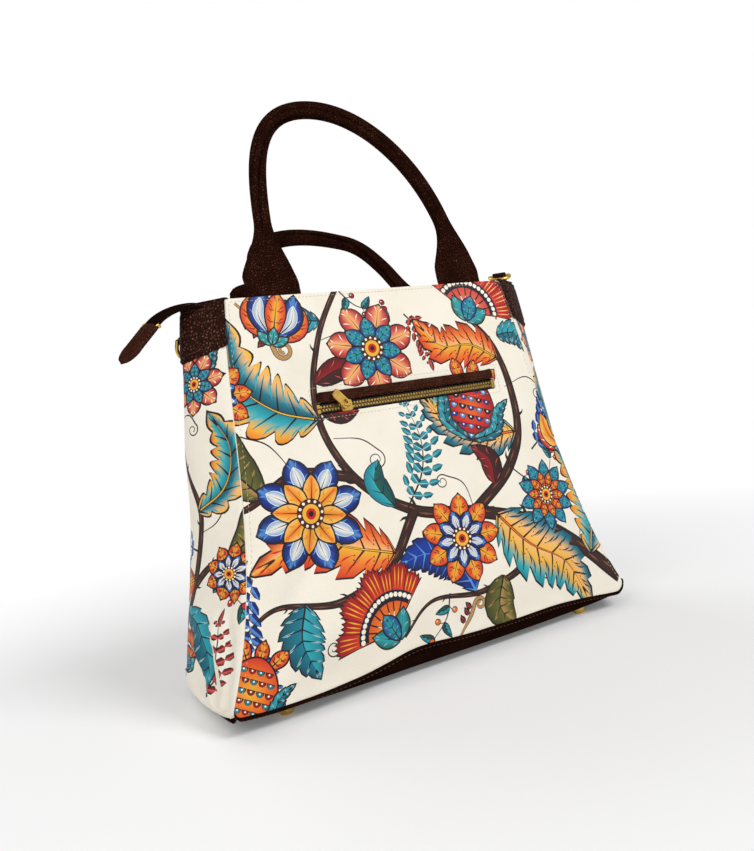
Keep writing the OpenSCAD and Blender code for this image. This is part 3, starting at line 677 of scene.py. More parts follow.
def addPetal(cloth, root, angle, reach, half, look):
    root = np.asarray(root, float)
    along = np.array([math.cos(angle), math.sin(angle)])
    side = np.array([-along[1], along[0]])
    bend = look.get("bow", 0.0) * reach
    spine = flow([root, root + along * reach * 0.5 + side * bend, root + along * reach], 16)
    addLeaf(cloth, spine, half, look)
    if look.get("inset"):
        inner = dict(look, left=look["inset"], right=look["inset"], inset=None, line=0.35, vein=None,
                     streaks=0, dots=None, ink=look.get("insetInk", "cream"))
        part = spine[3:-3]
        addLeaf(cloth, flow([part[0], part[len(part) // 2], part[-1]], 20), half * 0.48, inner)


petalLooks = {
    "navy": {"left": ("sky", "royal", "navy"), "peak": 0.62, "blunt": 0.6, "streak": "sky", "streaks": 1,
             "ribs": 3, "streakWide": 1.0, "rib": 1.0, "line": 0.9, "inset": ("cream", "sky"),
             "ribInk": "navy"},
    "blue": {"left": ("aqua", "teal", "royal"), "peak": 0.55, "blunt": 0.7, "streak": "mist",
             "streaks": 1, "ribs": 4, "streakWide": 0.9, "rib": 1.1, "vein": "deepTeal", "veinWide": 0.7},
    "flame": {"left": ("yellow", "orange", "red"), "peak": 0.6, "blunt": 0.62, "streak": "crimson",
              "streaks": 2, "ribs": 4, "streakWide": 1.0, "rib": 1.2, "dots": "crimson"},
    "rose": {"left": ("peach", "rose", "crimson"), "peak": 0.62, "blunt": 0.55, "streak": "cream",
             "streaks": 1, "ribs": 4, "streakWide": 1.0, "rib": 1.1},
    "sun": {"left": ("orange", "yellow", "peach"), "peak": 0.5, "blunt": 0.8, "streak": "orange",
            "streaks": 1, "ribs": 3, "streakWide": 0.9, "rib": 1.0},
    "maroon": {"left": ("crimson", "maroon"), "peak": 0.5, "blunt": 0.85, "streaks": 1, "streak": "rose",
               "ribs": 3, "streakWide": 0.7, "rib": 0.8},
    "green": {"left": ("aqua", "green"), "peak": 0.5, "blunt": 0.85, "streaks": 1, "streak": "mist",
              "ribs": 3, "streakWide": 0.7, "rib": 0.9}}

leafLooks = {
    "tealGold": {"left": ("yellow", "peach", "teal", "deepTeal"),
                 "right": ("peach", "yellow", "aqua", "teal"), "teeth": 8, "depth": 0.42, "peak": 0.38,
                 "vein": "ink", "veinWide": 1.2, "streaks": 3, "streak": "deepTeal", "dots": "bark",
                 "rib": 2.6, "core": "orange", "line": 1.2},
    "goldTeal": {"left": ("teal", "aqua", "yellow", "orange"),
                 "right": ("deepTeal", "teal", "peach", "yellow"), "teeth": 7, "depth": 0.5, "peak": 0.42,
                 "lobes": True, "vein": "ink", "veinWide": 1.2, "streaks": 3, "streak": "aqua",
                 "rib": 2.4, "core": "yellow", "line": 1.2},
    "fire": {"left": ("yellow", "orange", "red"), "right": ("peach", "orange", "crimson"), "teeth": 7,
             "depth": 0.45, "peak": 0.4, "vein": "maroon", "veinWide": 1.1, "streaks": 2, "streak": "red",
             "dots": "maroon", "rib": 2.2, "core": "yellow", "line": 1.1},
    "royal": {"left": ("royal", "navy"), "right": ("royal", "royal", "navy"), "teeth": 10, "depth": 0.22,
              "peak": 0.45, "vein": "sky", "veinWide": 0.9, "streaks": 2, "streak": "royal", "rib": 1.6,
              "ribInk": "sky", "ink": "navy", "line": 0.7},
    "lake": {"left": ("aqua", "teal"), "right": ("teal", "deepTeal"), "teeth": 7, "depth": 0.25,
             "peak": 0.42, "vein": "navy", "veinWide": 0.8, "streaks": 1, "streak": "mist", "rib": 1.2,
             "line": 0.8},
    "olive": {"left": ("tan", "olive", "oliveDark"), "right": ("olive", "oliveDark"), "peak": 0.45,
              "ribs": 6, "vein": "oliveDark", "veinWide": 1.0, "streaks": 1, "streak": "tan", "rib": 1.5,
              "line": 0.9},
    "wine": {"left": ("crimson", "maroon"), "right": ("maroon", "ink"), "peak": 0.4, "ribs": 4,
             "streaks": 1, "streak": "rose", "streakWide": 0.7, "rib": 0.8, "line": 0.6},
    "small": {"left": ("aqua", "teal"), "right": ("green", "deepTeal"), "peak": 0.45, "ribs": 4,
              "vein": "navy", "veinWide": 0.6, "streaks": 0, "rib": 0.9, "line": 0.6}}


def addBranch(cloth, points, width, thin=0.3):
    path = flow(points, 14 * len(points))
    width = width * 1.4
    addStroke(cloth, path, width + 1.0, inks["ink"], 1.0, thin, 0.02)
    addStroke(cloth, path, width * 0.72, inks["bark"], 1.0, thin, 0.02)
    tangent, normal = runs(path)
    count = len(path)
    for k in range(3, count - 6, 5):
        # lighter bark flakes and short spurs
        side = 1 if (k // 5) % 2 else -1
        w = width * mix(1, thin, k / count)
        flake = path[k:k + 5] + normal[k:k + 5] * side * w * 0.14
        addStroke(cloth, flake, w * 0.17, inks["barkLight"], 0.1, 0.1, 0.5)
        if k % 3 == 0:
            root = path[k] + normal[k] * side * w * 0.35
            spur = [root, root + (normal[k] * side + tangent[k] * 0.7) * w * 0.5,
                    root + (normal[k] * side + tangent[k] * 1.1) * w * 0.75]
            addStroke(cloth, spur, w * 0.42, inks["ink"], 1, 0.1, 0.1)


def addTendril(cloth, points, curl, turns=1.4, colour="ink", width=1.1):
    # thin line that ends in a coil of the given radius, to the left where it is positive
    path = flow(points, 22)
    heading = path[-1] - path[-2]
    angle = math.atan2(heading[1], heading[0])
    sign = 1 if curl > 0 else -1
    centre = path[-1] + np.array([-math.sin(angle), math.cos(angle)]) * curl
    t = np.linspace(0, 1, int(20 * turns))[1:]
    coil = polar(centre, abs(curl) * (1 - 0.72 * t),
                 angle - sign * np.pi / 2 + sign * t * 2 * np.pi * turns)
    addStroke(cloth, np.vstack([path, coil]), width, inks[colour], 0.5, 0.6, 0.3)


def addRosette(cloth, centre, radius, turn, layers, heart):
    # rings of petals from the outside in, then a heart of dotted rings
    for layer in layers:
        for k in range(layer["count"]):
            angle = math.radians(turn + layer.get("turn", 0)) + 2 * math.pi * k / layer["count"]
            root = polar(centre, layer.get("from", 0.1) * radius, angle)
            reach = (layer["to"] - layer.get("from", 0.1)) * radius
            addPetal(cloth, root, angle, reach, layer["wide"] * radius, petalLooks[layer["look"]])
    for share, name in heart:
        addDot(cloth, centre, share * radius, inks[name], 20)
    ring = heart[0][0] * radius * 0.82
    for k in range(12):
        addDot(cloth, polar(centre, ring, 2 * math.pi * k / 12), radius * 0.022 + 0.3, inks["cream"], 6)


def addFan(cloth, root, heading, radius, spread, count, names, band):
    # a fan flower: frilled wedges with a dotted band, on a striped cup
    root = np.asarray(root, float)
    centre = math.radians(heading)
    step = 2 * math.radians(spread) / count
    for grow, filled in ((1.2, False), (0.0, True)):
        for k in list(range(0, count, 2)) + list(range(1, count, 2)):
            middle = centre - math.radians(spread) + (k + 0.5) * step
            half = step * 0.56 + grow / radius
            reach = radius * (1 if k % 2 else 0.92)
            frill = np.linspace(-1, 1, 11)
            outer = polar(root, reach + grow + np.where(np.arange(11) % 2, -0.055, 0.0) * radius
                          - 0.05 * radius * frill ** 2, middle + frill * half)
            edge = np.vstack([polar(root, radius * 0.12, middle), outer])
            if not filled:
                addShape(cloth, edge, inks["ink"])
                continue
            addShape(cloth, edge,
                     lambda p, reach=reach: tones(np.linalg.norm(p - root, axis=1) / reach, names))
            for side in (-1, 1):
                rim = middle + side * half
                line = flow([polar(root, radius * 0.3, rim), polar(root, reach * 0.9, rim)], 4)
                addStroke(cloth, line, 0.9, inks["ink"], 1, 0.3, 0.1)
            for f in (-0.5, 0.0, 0.5):
                ray = middle + f * half
                line = flow([polar(root, reach * 0.62, ray), polar(root, reach * 0.92, ray)], 4)
                addStroke(cloth, line, 1.1, inks[names[0]], 0.1, 0.2, 0.6)
    arc = np.linspace(-math.radians(spread) * 0.98, math.radians(spread) * 0.98, 24) + centre
    for low, high, name in band:
        addShape(cloth, np.vstack([polar(root, np.full(24, high * radius), arc),
                                   polar(root, np.full(24, low * radius), arc[::-1])]), inks[name])
    low, high, name = band[-1]
    for k in range(count * 2):
        angle = centre - math.radians(spread) + (k + 0.5) * step / 2
        addDot(cloth, polar(root, (low + high) / 2 * radius, angle), (high - low) * radius * 0.3,
               inks["cream"], 7)
    cup = polar(root, radius * 0.16, centre + np.pi)
    for turn, look in ((0.75, "green"), (-0.75, "green"), (0.0, "blue")):
        addPetal(cloth, cup, centre + turn, radius * 0.46, radius * 0.13, petalLooks[look])


def addPomegranate(cloth, centre, heading, size, skin, flesh):
    # a fruit with rows of scales, a crown and two wrapping leaves
    centre = np.asarray(centre, float)
    angle = math.radians(heading)
    axis = np.array([math.cos(angle), math.sin(angle)])
    side = np.array([-axis[1], axis[0]])
    place = lambda a, b: centre + axis * a * size + side * b * size
    for turn in (0.55, -0.55, 0.0):
        addPetal(cloth, place(0.55, 0.25 * np.sign(turn)), angle + turn, size * 0.62, size * 0.15,
                 petalLooks["flame"])
    ring = np.linspace(0, 2 * np.pi, 41)[:-1]
    rim = np.array([place(0.78 * math.cos(a), (0.64 - 0.08 * math.cos(a)) * math.sin(a)) for a in ring])
    egg = lambda grow: rim + polar((0, 0), np.full(40, grow), ring + angle)
    addShape(cloth, egg(1.2), inks["ink"])
    addShape(cloth, egg(0.0), lambda p: tones(np.linalg.norm(p - centre, axis=1) / size / 0.8, skin))
    rows = 6
    for i in range(rows):
        a = mix(0.52, -0.62, i / (rows - 1))
        wide = 0.56 * math.sqrt(max(0.0, 1 - (a / 0.80) ** 2))
        count = max(2, int(round(wide / 0.105)))
        for j in range(count):
            b = mix(-wide, wide, (j + 0.5) / count)
            r = 0.95 * wide / count
            turns = np.linspace(np.pi, 2 * np.pi, 9)
            scale = [place(a + 1.25 * r * math.sin(t), b + r * math.cos(t)) for t in turns]
            addShape(cloth, scale, inks["ink"])
            turns = np.linspace(np.pi, 2 * np.pi, 8)
            inner = [place(a - 0.02 + 0.98 * r * math.sin(t), b + 0.74 * r * math.cos(t)) for t in turns]
            addShape(cloth, inner, inks[flesh[(i + j) % len(flesh)]])
            addDot(cloth, place(a - 0.45 * r, b), 0.24 * r * size, inks["cream"], 6)
    for s in (-1, 1):
        addLeaf(cloth,
                [place(-0.80, 0.0), place(-0.45, 0.62 * s), place(0.05, 0.74 * s), place(0.42, 0.98 * s)],
                size * 0.17, leafLooks["lake"])


def addBell(cloth, root, heading, size, outer, inner):
    # a bell flower of five petals
    angle = math.radians(heading)
    petals = ((0.62, 0.95, outer), (-0.62, 0.95, outer), (0.30, 1.08, inner), (-0.30, 1.08, inner),
              (0.0, 1.0, outer))
    for turn, reach, look in petals:
        look = dict(petalLooks[look], bow=0.16 * np.sign(turn))
        addPetal(cloth, root, angle + turn, size * reach, size * 0.20, look)
    for turn in (0.95, -0.95, 0.0):
        addPetal(cloth, polar(root, size * 0.1, angle + np.pi), angle + turn, size * 0.36, size * 0.09,
                 petalLooks["green"])


def addFrond(cloth, points, count, length, look="royal"):
    # feathery leaf: paired leaflets along a spine
    spine = flow(points, 40)
    leaflet = {"left": ("royal", "navy"), "right": ("sky", "royal"), "peak": 0.42, "streaks": 0,
               "rib": 0.7, "ribInk": "sky", "line": 0.5, "ink": "navy", "steps": 7}
    if look == "wine":
        leaflet = dict(leaflet, left=("crimson", "maroon"), right=("rose", "maroon"), ribInk="rose",
                       ink="ink")
    if look == "teal":
        leaflet = dict(leaflet, left=("aqua", "teal"), right=("teal", "deepTeal"), ribInk="mist",
                       ink="deepTeal")
    addStroke(cloth, spine, 1.5, inks["ink"], 1.0, 0.3, 0.05)
    for k in range(count):
        t = mix(0.12, 0.97, k / (count - 1))
        (a,), (d,), (n,) = atShare(spine, [t])
        reach = length * math.sin(math.pi * mix(0.30, 0.93, k / (count - 1))) ** 0.7
        for s in (-1, 1):
            tip = a + (n * s * 0.86 + d * 0.62) * reach
            line = flow([a, mix(a, tip, 0.5) + d * reach * -0.06, tip], 8).repeat(3, 0)[1:-1]
            addLeaf(cloth, line, reach * 0.17, leaflet)
    (a,), (d,), _ = atShare(spine, [0.99])
    addLeaf(cloth, flow([a, a + d * length * 0.3, a + d * length * 0.6], 24), length * 0.11, leaflet)


def addSprig(cloth, points, berries, colour, size=9):
    # thin stem with small leaves and berries
    stem = flow(points, 24)
    addStroke(cloth, stem, 1.2, inks["ink"], 0.9, 0.5, 0.1)
    for k in range(berries):
        (a,), (d,), (n,) = atShare(stem, [mix(0.25, 0.92, k / max(1, berries - 1))])
        side = 1 if k % 2 else -1
        end = a + n * side * size * 0.8 + d * size * 0.45
        addLeaf(cloth, [a, mix(a, end, 0.5) + d * 1.2, a + (end - a) * 1.5], size * 0.3,
                leafLooks["small"])
        berry = a - n * side * size * 0.62 + d * size * 0.3
        addStroke(cloth, flow([a, mix(a, berry, 0.5) + d, berry], 4), 0.7, inks["ink"], 1, 0.8, 0.1)
        addDot(cloth, berry, size * 0.29, inks["ink"], 12)
        addDot(cloth, berry, size * 0.22, inks[colour], 12)
        addDot(cloth, berry + np.array([-0.07, 0.07]) * size, size * 0.07, inks["cream"], 6)
    addDot(cloth, stem[-1], size * 0.3, inks["ink"], 12)
    addDot(cloth, stem[-1], size * 0.23, inks[colour], 12)


def addScroll(cloth, points, curl, width):
    # flat scroll with a coiled head and drops along its back
    addTendril(cloth, points, curl, 1.25, "bark", width + 1.2)
    addTendril(cloth, points, curl, 1.25, "tan", width)
    path = flow(points, 22)
    tangent, normal = runs(path)
    side = -1 if curl > 0 else 1
    for k in (6, 11, 16):
        angle = math.atan2(*(normal[k] * side + tangent[k] * 0.5)[::-1])
        root = path[k] + normal[k] * side * width * 0.9
        addPetal(cloth, root, angle, width * 2.2, width * 0.5, petalLooks["maroon"])


starLayers = {
    "navyStar": [{"count": 8, "to": 1.0, "from": 0.2, "wide": 0.23, "look": "navy"},
                 {"count": 8, "to": 0.68, "from": 0.1, "wide": 0.15, "look": "sun", "turn": 22.5}],
    "flameStar": [{"count": 9, "to": 1.0, "from": 0.2, "wide": 0.22, "look": "flame"},
                  {"count": 9, "to": 0.64, "from": 0.1, "wide": 0.14, "look": "navy", "turn": 20}],
    "roseStar": [{"count": 7, "to": 1.0, "from": 0.2, "wide": 0.26, "look": "rose"},
                 {"count": 7, "to": 0.66, "from": 0.1, "wide": 0.16, "look": "blue", "turn": 25.7}],
    "blueStar": [{"count": 10, "to": 1.0, "from": 0.2, "wide": 0.19, "look": "blue"},
                 {"count": 10, "to": 0.66, "from": 0.1, "wide": 0.12, "look": "flame", "turn": 18}]}
heartRings = [(0.27, "maroon"), (0.17, "yellow"), (0.10, "red"), (0.05, "ink")]
fanBands = [(0.44, 0.47, "ink"), (0.47, 0.60, "navy")]

# layouts, in panel millimetres
panelPrint = {
    "grow": 1.16,
    "branches": [
        ([(176, 8), (138, 44), (92, 74), (40, 92), (-14, 104), (-58, 138), (-74, 190), (-62, 246),
          (-30, 296)], 8.5, 0.35),
        ([(40, 92), (84, 122), (108, 166), (104, 222), (76, 262), (60, 300)], 6.5, 0.3),
        ([(-58, 138), (-104, 148), (-146, 130), (-182, 138)], 5.5, 0.4),
        ([(-14, 104), (-44, 70), (-92, 52), (-140, 58), (-176, 34)], 5.5, 0.3),
        ([(92, 74), (74, 42), (30, 30), (-16, 34), (-44, 14)], 4.5, 0.3)],
    "tendrils": [
        ([(-66, 170), (-44, 166), (-30, 154)], -8, 1.4),
        ([(-104, 148), (-118, 172), (-136, 182)], 7, 1.3),
        ([(104, 190), (128, 196), (142, 186)], -7, 1.4), ([(-92, 52), (-88, 30), (-100, 18)], -6, 1.3),
        ([(138, 44), (150, 64), (168, 72)], 7, 1.3), ([(-62, 246), (-40, 250), (-22, 240)], -7, 1.4),
        ([(40, 92), (36, 116), (20, 126)], 6, 1.4), ([(74, 42), (92, 26), (108, 26)], 6, 1.3)],
    "scrolls": [([(-120, 282), (-104, 262), (-98, 240)], 7, 3.4),
                ([(112, 250), (122, 270), (116, 284)], 6, 3.0), ([(4, 2), (16, 14), (22, 24)], -5, 2.6)],
    "fronds": [([(-150, 96), (-162, 72), (-164, 46), (-150, 18)], 9, 19, "royal"),
               ([(112, 132), (134, 146), (146, 168), (146, 196)], 9, 19, "royal"),
               ([(-20, 106), (-2, 128), (4, 152), (0, 178)], 9, 17, "teal"),
               ([(20, 262), (32, 244), (34, 226)], 7, 12, "wine")],
    "leaves": [
        ([(60, 86), (82, 60), (110, 40), (128, 8)], 25, "tealGold"),
        ([(-74, 186), (-104, 196), (-124, 220), (-122, 258)], 23, "goldTeal"),
        ([(-40, 76), (-64, 84), (-96, 96), (-134, 84)], 21, "fire"),
        ([(100, 150), (72, 152), (46, 166), (30, 190)], 19, "tealGold"),
        ([(104, 216), (82, 228), (56, 230), (38, 250)], 17, "fire"),
        ([(24, 32), (14, 54), (-6, 64), (-30, 62)], 16, "royal"),
        ([(150, 34), (160, 62), (158, 92), (142, 118)], 19, "goldTeal"),
        ([(-130, 136), (-144, 158), (-142, 184)], 13, "olive"),
        ([(-70, 214), (-50, 222), (-36, 216)], 8, "wine"),
        ([(-72, 200), (-58, 190), (-44, 190)], 7, "wine"), ([(66, 110), (66, 128), (54, 140)], 8, "wine"),
        ([(-116, 56), (-124, 34), (-116, 12)], 13, "lake"), ([(52, 38), (46, 18), (56, 2)], 12, "olive"),
        ([(108, 236), (126, 236), (136, 220)], 10, "lake"),
        ([(-30, 110), (-40, 128), (-34, 142)], 8, "small"),
        ([(-56, 262), (-74, 266), (-84, 282)], 10, "lake")],
    "sprigs": [([(84, 122), (100, 108), (120, 104), (136, 128)], 4, "red"),
               ([(-160, 136), (-172, 158), (-166, 182)], 3, "red"),
               ([(-36, 290), (-20, 272), (4, 268)], 3, "crimson"),
               ([(0, 36), (-6, 18), (-22, 4)], 3, "orange")],
    "fans": [((-52, 20), 118, 44, 68, 8, ("yellow", "orange", "red", "crimson")),
             ((84, 258), 62, 46, 72, 8, ("peach", "rose", "red", "crimson"))],
    "rosettes": [((-98, 118), 36, 10, "navyStar"), ((22, 74), 30, 0, "flameStar"),
                 ((-16, 236), 33, 15, "roseStar"), ((116, 92), 25, 8, "blueStar"),
                 ((-150, 214), 24, 0, "flameStar")],
    "pomegranates": [((64, 176), 70, 31, ("orange", "red", "maroon"), ("sky", "royal", "navy")),
                     ((-166, 10), 60, 25, ("yellow", "orange", "red"), ("crimson", "teal"))],
    "bells": [((-98, 250), 70, 34, "flame", "navy"), ((152, 128), 100, 30, "rose", "sun")]}

gussetPrint = {
    "grow": 1.12,
    "branches": [([(-40, 0), (-20, 40), (8, 78), (16, 126), (-2, 170), (-10, 216), (4, 262)], 5.5, 0.35),
                 ([(8, 78), (34, 96), (58, 92)], 4, 0.4),
                 ([(-2, 170), (-26, 186), (-44, 180)], 3.5, 0.4)],
    "tendrils": [([(14, 116), (32, 124), (40, 140)], 6, 1.3),
                 ([(-20, 40), (-40, 52), (-46, 68)], -6, 1.3),
                 ([(-8, 200), (8, 204), (16, 196)], -5, 1.3)],
    "fronds": [([(14, 104), (-10, 110), (-30, 128), (-36, 150)], 8, 14, "royal"),
               ([(30, 6), (40, 24), (40, 50)], 7, 13, "wine")],
    "leaves": [([(10, 84), (-14, 80), (-38, 92), (-52, 112)], 13, "fire"),
               ([(12, 132), (34, 146), (38, 172), (24, 196)], 14, "goldTeal"),
               ([(-10, 60), (12, 52), (24, 32), (20, 10)], 11, "lake"),
               ([(-34, 20), (-54, 34), (-62, 60)], 11, "tealGold"),
               ([(44, 94), (56, 112), (54, 134)], 8, "olive"),
               ([(-6, 226), (-22, 236), (-26, 252)], 8, "small")],
    "sprigs": [([(34, 96), (44, 76), (60, 66)], 3, "red"),
               ([(-2, 172), (-16, 156), (-14, 140)], 3, "red")],
    "fans": [((-8, 20), 96, 26, 66, 6, ("yellow", "orange", "red", "crimson"))],
    "rosettes": [((-40, 176), 19, 10, "navyStar"), ((46, 88), 18, 0, "flameStar"),
                 ((14, 226), 20, 10, "roseStar"), ((-20, 92), 15, 10, "blueStar")],
    "pomegranates": [((14, 246), 90, 18, ("orange", "red", "maroon"), ("sky", "royal", "navy"))]}


def drawPrint(plan, flip=False):
    cloth = []
    grow = plan["grow"]
    swell = lambda points: [tuple(np.array(points[0]) + grow * (np.array(p) - points[0])) for p in points]
    for points, width, thin in plan.get("branches", []):
        addBranch(cloth, points, width, thin)
    for points, curl, turns in plan.get("tendrils", []):
        addTendril(cloth, points, curl, turns)
    for points, curl, width in plan.get("scrolls", []):
        addScroll(cloth, points, curl, width)
    for points, count, length, look in plan.get("fronds", []):
        addFrond(cloth, swell(points), count, length * grow, look)
    for points, berries, colour in plan.get("sprigs", []):
        addSprig(cloth, points, berries, colour)
    for points, half, look in plan.get("leaves", []):
        addLeaf(cloth, swell(points), half * grow, leafLooks[look])
    for root, heading, radius, spread, count, names in plan.get("fans", []):
        addFan(cloth, root, heading, radius * grow, spread, count, names, fanBands)
    for root, heading, size, outer, inner in plan.get("bells", []):
        addBell(cloth, root, heading, size * grow, outer, inner)
    for centre, heading, size, skin, flesh in plan.get("pomegranates", []):
        addPomegranate(cloth, centre, heading, size * grow, skin, flesh)
    for centre, radius, turn, name in plan.get("rosettes", []):
        addRosette(cloth, np.array(centre, float), radius * grow, turn, starLayers[name], heartRings)
    if flip:
        turned = np.array([-1, 1])
        back = lambda paint: (lambda p: paint(p * turned)) if callable(paint) else paint
        cloth = [((edge * turned)[::-1], back(paint)) for edge, paint in cloth]
    return cloth


def inside(loop, points):
    # even-odd test of many points at once
    hit = np.zeros(len(points), bool)
    step = max(1, 400000 // max(1, len(loop)))
    (x0, y0), (x1, y1) = loop.T, np.roll(loop, -1, 0).T
    level = y0 != y1
    x0, y0, x1, y1 = x0[level], y0[level], x1[level], y1[level]
    for first in range(0, len(points), step):
        x, y = points[first:first + step, :1], points[first:first + step, 1:]
        cross = ((y0 > y) != (y1 > y)) & (x < (x1 - x0) * (y - y0) / (y1 - y0) + x0)
        hit[first:first + step] = cross.sum(1) % 2 == 1
    return hit


def gridIn(outline, holes, spacing):
    low, high = outline.min(0), outline.max(0)
    rows = np.arange(low[1] + spacing / 2, high[1], spacing * 0.87)
    columns = np.arange(low[0], high[0], spacing)
    points = np.array([(x + (i % 2) * spacing / 2, y) for i, y in enumerate(rows) for x in columns])
    keep = inside(outline, points)
    for hole in holes:
        keep &= ~inside(hole, points)
    return points[keep]


def triangulate(loops, points):
    # flat triangles with every loop kept as an edge
    verts, edges = [], []
    for loop in loops:
        first, count = len(verts), len(loop)
        verts.extend(loop)
        edges.extend((first + i, first + (i + 1) % count) for i in range(count))
    verts.extend(points)
    verts = [Vector((float(p[0]), float(p[1]))) for p in verts]
    flat, _, faces = delaunay_2d_cdt(verts, edges, [], 0, 0.004, False)[:3]
    return np.array([tuple(p) for p in flat]), np.array([tuple(f) for f in faces if len(f) == 3])


def insetRows(outline, depths):
    tangent = np.roll(outline, -1, 0) - np.roll(outline, 1, 0)
    tangent = tangent / np.linalg.norm(tangent, axis=1)[:, None]
    normal = np.stack([-tangent[:, 1], tangent[:, 0]], -1)
    return np.vstack([outline + normal * d for d in depths])


def sewPanel(name, outline, holes, cloth, place, spacing):
    # a printed panel: coloured outer face, turned rim and plain inner face, closed
    outline = np.asarray(outline, float)
    low, high = outline.min(0), outline.max(0)
    cloth = [c for c in cloth if (c[0].max(0) > low).all() and (c[0].min(0) < high).all()]
    extra = np.vstack([gridIn(outline, holes, spacing), insetRows(outline, (0.9, 1.8, 3.0))])
    flat, faces = triangulate([outline, *holes, *[edge for edge, _ in cloth]], extra)
    middle = flat[faces].mean(1)
    keep = inside(outline, middle)
    for hole in holes:
        keep &= ~inside(hole, middle)
    faces, middle = faces[keep], middle[keep]
    top = np.full(len(faces), -1)
    order = np.argsort(middle[:, 0])
    sortedX = middle[order, 0]
    for number, (edge, _) in enumerate(cloth):
        (x0, y0), (x1, y1) = edge.min(0), edge.max(0)
        span = order[np.searchsorted(sortedX, x0):np.searchsorted(sortedX, x1)]
        span = span[(middle[span, 1] > y0) & (middle[span, 1] < y1)]
        if len(span):
            top[span[inside(edge, middle[span])]] = number
    used, faces = np.unique(faces, return_inverse=True)
    flat, faces = flat[used], faces.reshape(-1, 3)
    colours = np.tile(inks["ground"], (len(faces), 3, 1))
    for number, (_, paint) in enumerate(cloth):
        rows = np.nonzero(top == number)[0]
        if len(rows):
            colours[rows] = (paint(flat[faces[rows]].reshape(-1, 2)).reshape(-1, 3, 3) if callable(paint)
                             else paint)
    # rim and inner face
    pairs = np.vstack([faces[:, [0, 1]], faces[:, [1, 2]], faces[:, [2, 0]]])
    known = {(int(a), int(b)) for a, b in pairs}
    border = [(a, b) for a, b in known if (b, a) not in known]
    after = dict(border)
    loops = []
    while after:
        loop = [next(iter(after))]
        while loop[-1] in after:
            loop.append(after.pop(loop[-1]))
        loops.append(loop[:-1])
    innerFlat, innerFaces = triangulate([flat[loop] for loop in loops], gridIn(outline, holes, 14))
    middle = innerFlat[innerFaces].mean(1)
    keep = inside(outline, middle)
    for hole in holes:
        keep &= ~inside(hole, middle)
    innerFaces = innerFaces[keep][:, ::-1]
    count = len(flat)
    seat = {tuple(np.round(p, 3)): count + i for i, p in enumerate(innerFlat)}
    rim = []
    for a, b in border:
        pa, pb = seat.get(tuple(np.round(flat[a], 3))), seat.get(tuple(np.round(flat[b], 3)))
        if pa is not None and pb is not None:
            rim.append((b, a, pa, pb))
    verts = np.vstack([place(flat[:, 0], flat[:, 1], 0.0),
                       place(innerFlat[:, 0], innerFlat[:, 1], -shell["wall"])])
    allFlat = np.vstack([flat, innerFlat])
    polygons = ([tuple(f) for f in faces.tolist()] + rim
                + [tuple(f) for f in (innerFaces + count).tolist()])
    mesh = bpy.data.meshes.new(name)
    mesh.from_pydata(verts.tolist(), [], polygons)
    loopVerts = np.empty(len(mesh.loops), int)
    mesh.loops.foreach_get("vertex_index", loopVerts)
    mesh.uv_layers.new(name="cloth").data.foreach_set("uv", allFlat[loopVerts].astype(np.float32).ravel())
    rgba = np.ones((len(mesh.loops), 4), np.float32)
    rgba[:, :3] = inks["ground"]
    rgba[:len(faces) * 3, :3] = colours.reshape(-1, 3)
    mesh.color_attributes.new("print", "FLOAT_COLOR", "CORNER").data.foreach_set("color", rgba.ravel())
    mesh.shade_smooth()
    mesh.set_sharp_from_angle(angle=math.radians(50))
    piece = bpy.data.objects.new(name, mesh)
    bpy.context.scene.collection.objects.link(piece)
    mesh.materials.append(canvas)
    print(name, len(polygons), "faces")
    return piece


def panelOutline(face=1):
    # face -1 gives the mirrored outline of the back
    radii = (shell["cornerLeft"], shell["cornerRight"])
    turns = [end - r * (1 - np.cos(np.linspace(0, 1.4, 12))) for end, r in zip(hemEnds, radii)]
    x = np.concatenate([-turns[0], np.linspace(-hemEnds[0] + 12, hemEnds[1] - 12, 90), turns[1][::-1]])
    sides = []
    for foot in cornerFoot:
        v = np.linspace(foot / slant, 1, 58)[1:]
        sides.append(np.stack([halfWidth(v), v * slant], -1))
    across = np.linspace(shell["topWidth"] / 2, -shell["topWidth"] / 2, 52)[1:-1]
    outline = np.vstack([np.stack([x, hem(x)], -1), sides[1],
                         np.stack([across, np.full(len(across), slant)], -1),
                         (sides[0] * np.array([-1, 1]))[::-1]])
    return outline if face > 0 else (outline * np.array([-1, 1]))[::-1]


def roundedRect(x, y, w, h, r, steps=5):
    corners = ((w / 2 - r, h / 2 - r, 0), (r - w / 2, h / 2 - r, 90), (r - w / 2, r - h / 2, 180),
               (w / 2 - r, r - h / 2, 270))
    return np.array([(x + cx + r * math.cos(math.radians(a)), y + cy + r * math.sin(math.radians(a)))
                     for cx, cy, a0 in corners for a in np.linspace(a0, a0 + 90, steps)])


def gussetOutline(which):
    foot = cornerFoot[0 if which == "left" else 1]
    low = shell["gussetFoot"][which]
    r = foot - low
    v = np.linspace(foot / slant, 1, 58)
    side = np.stack([halfGirth(v), v * slant], -1)
    end = side[0, 0]
    across = end * np.sin(np.linspace(-1.5, 1.5, 50))
    high = np.linspace(side[-1, 0], -side[-1, 0], 16)[1:-1]
    return np.vstack([np.stack([across, low + bow(across / end, r)], -1), side,
                      np.stack([high, np.full(14, slant)], -1), (side * np.array([-1, 1]))[::-1]])


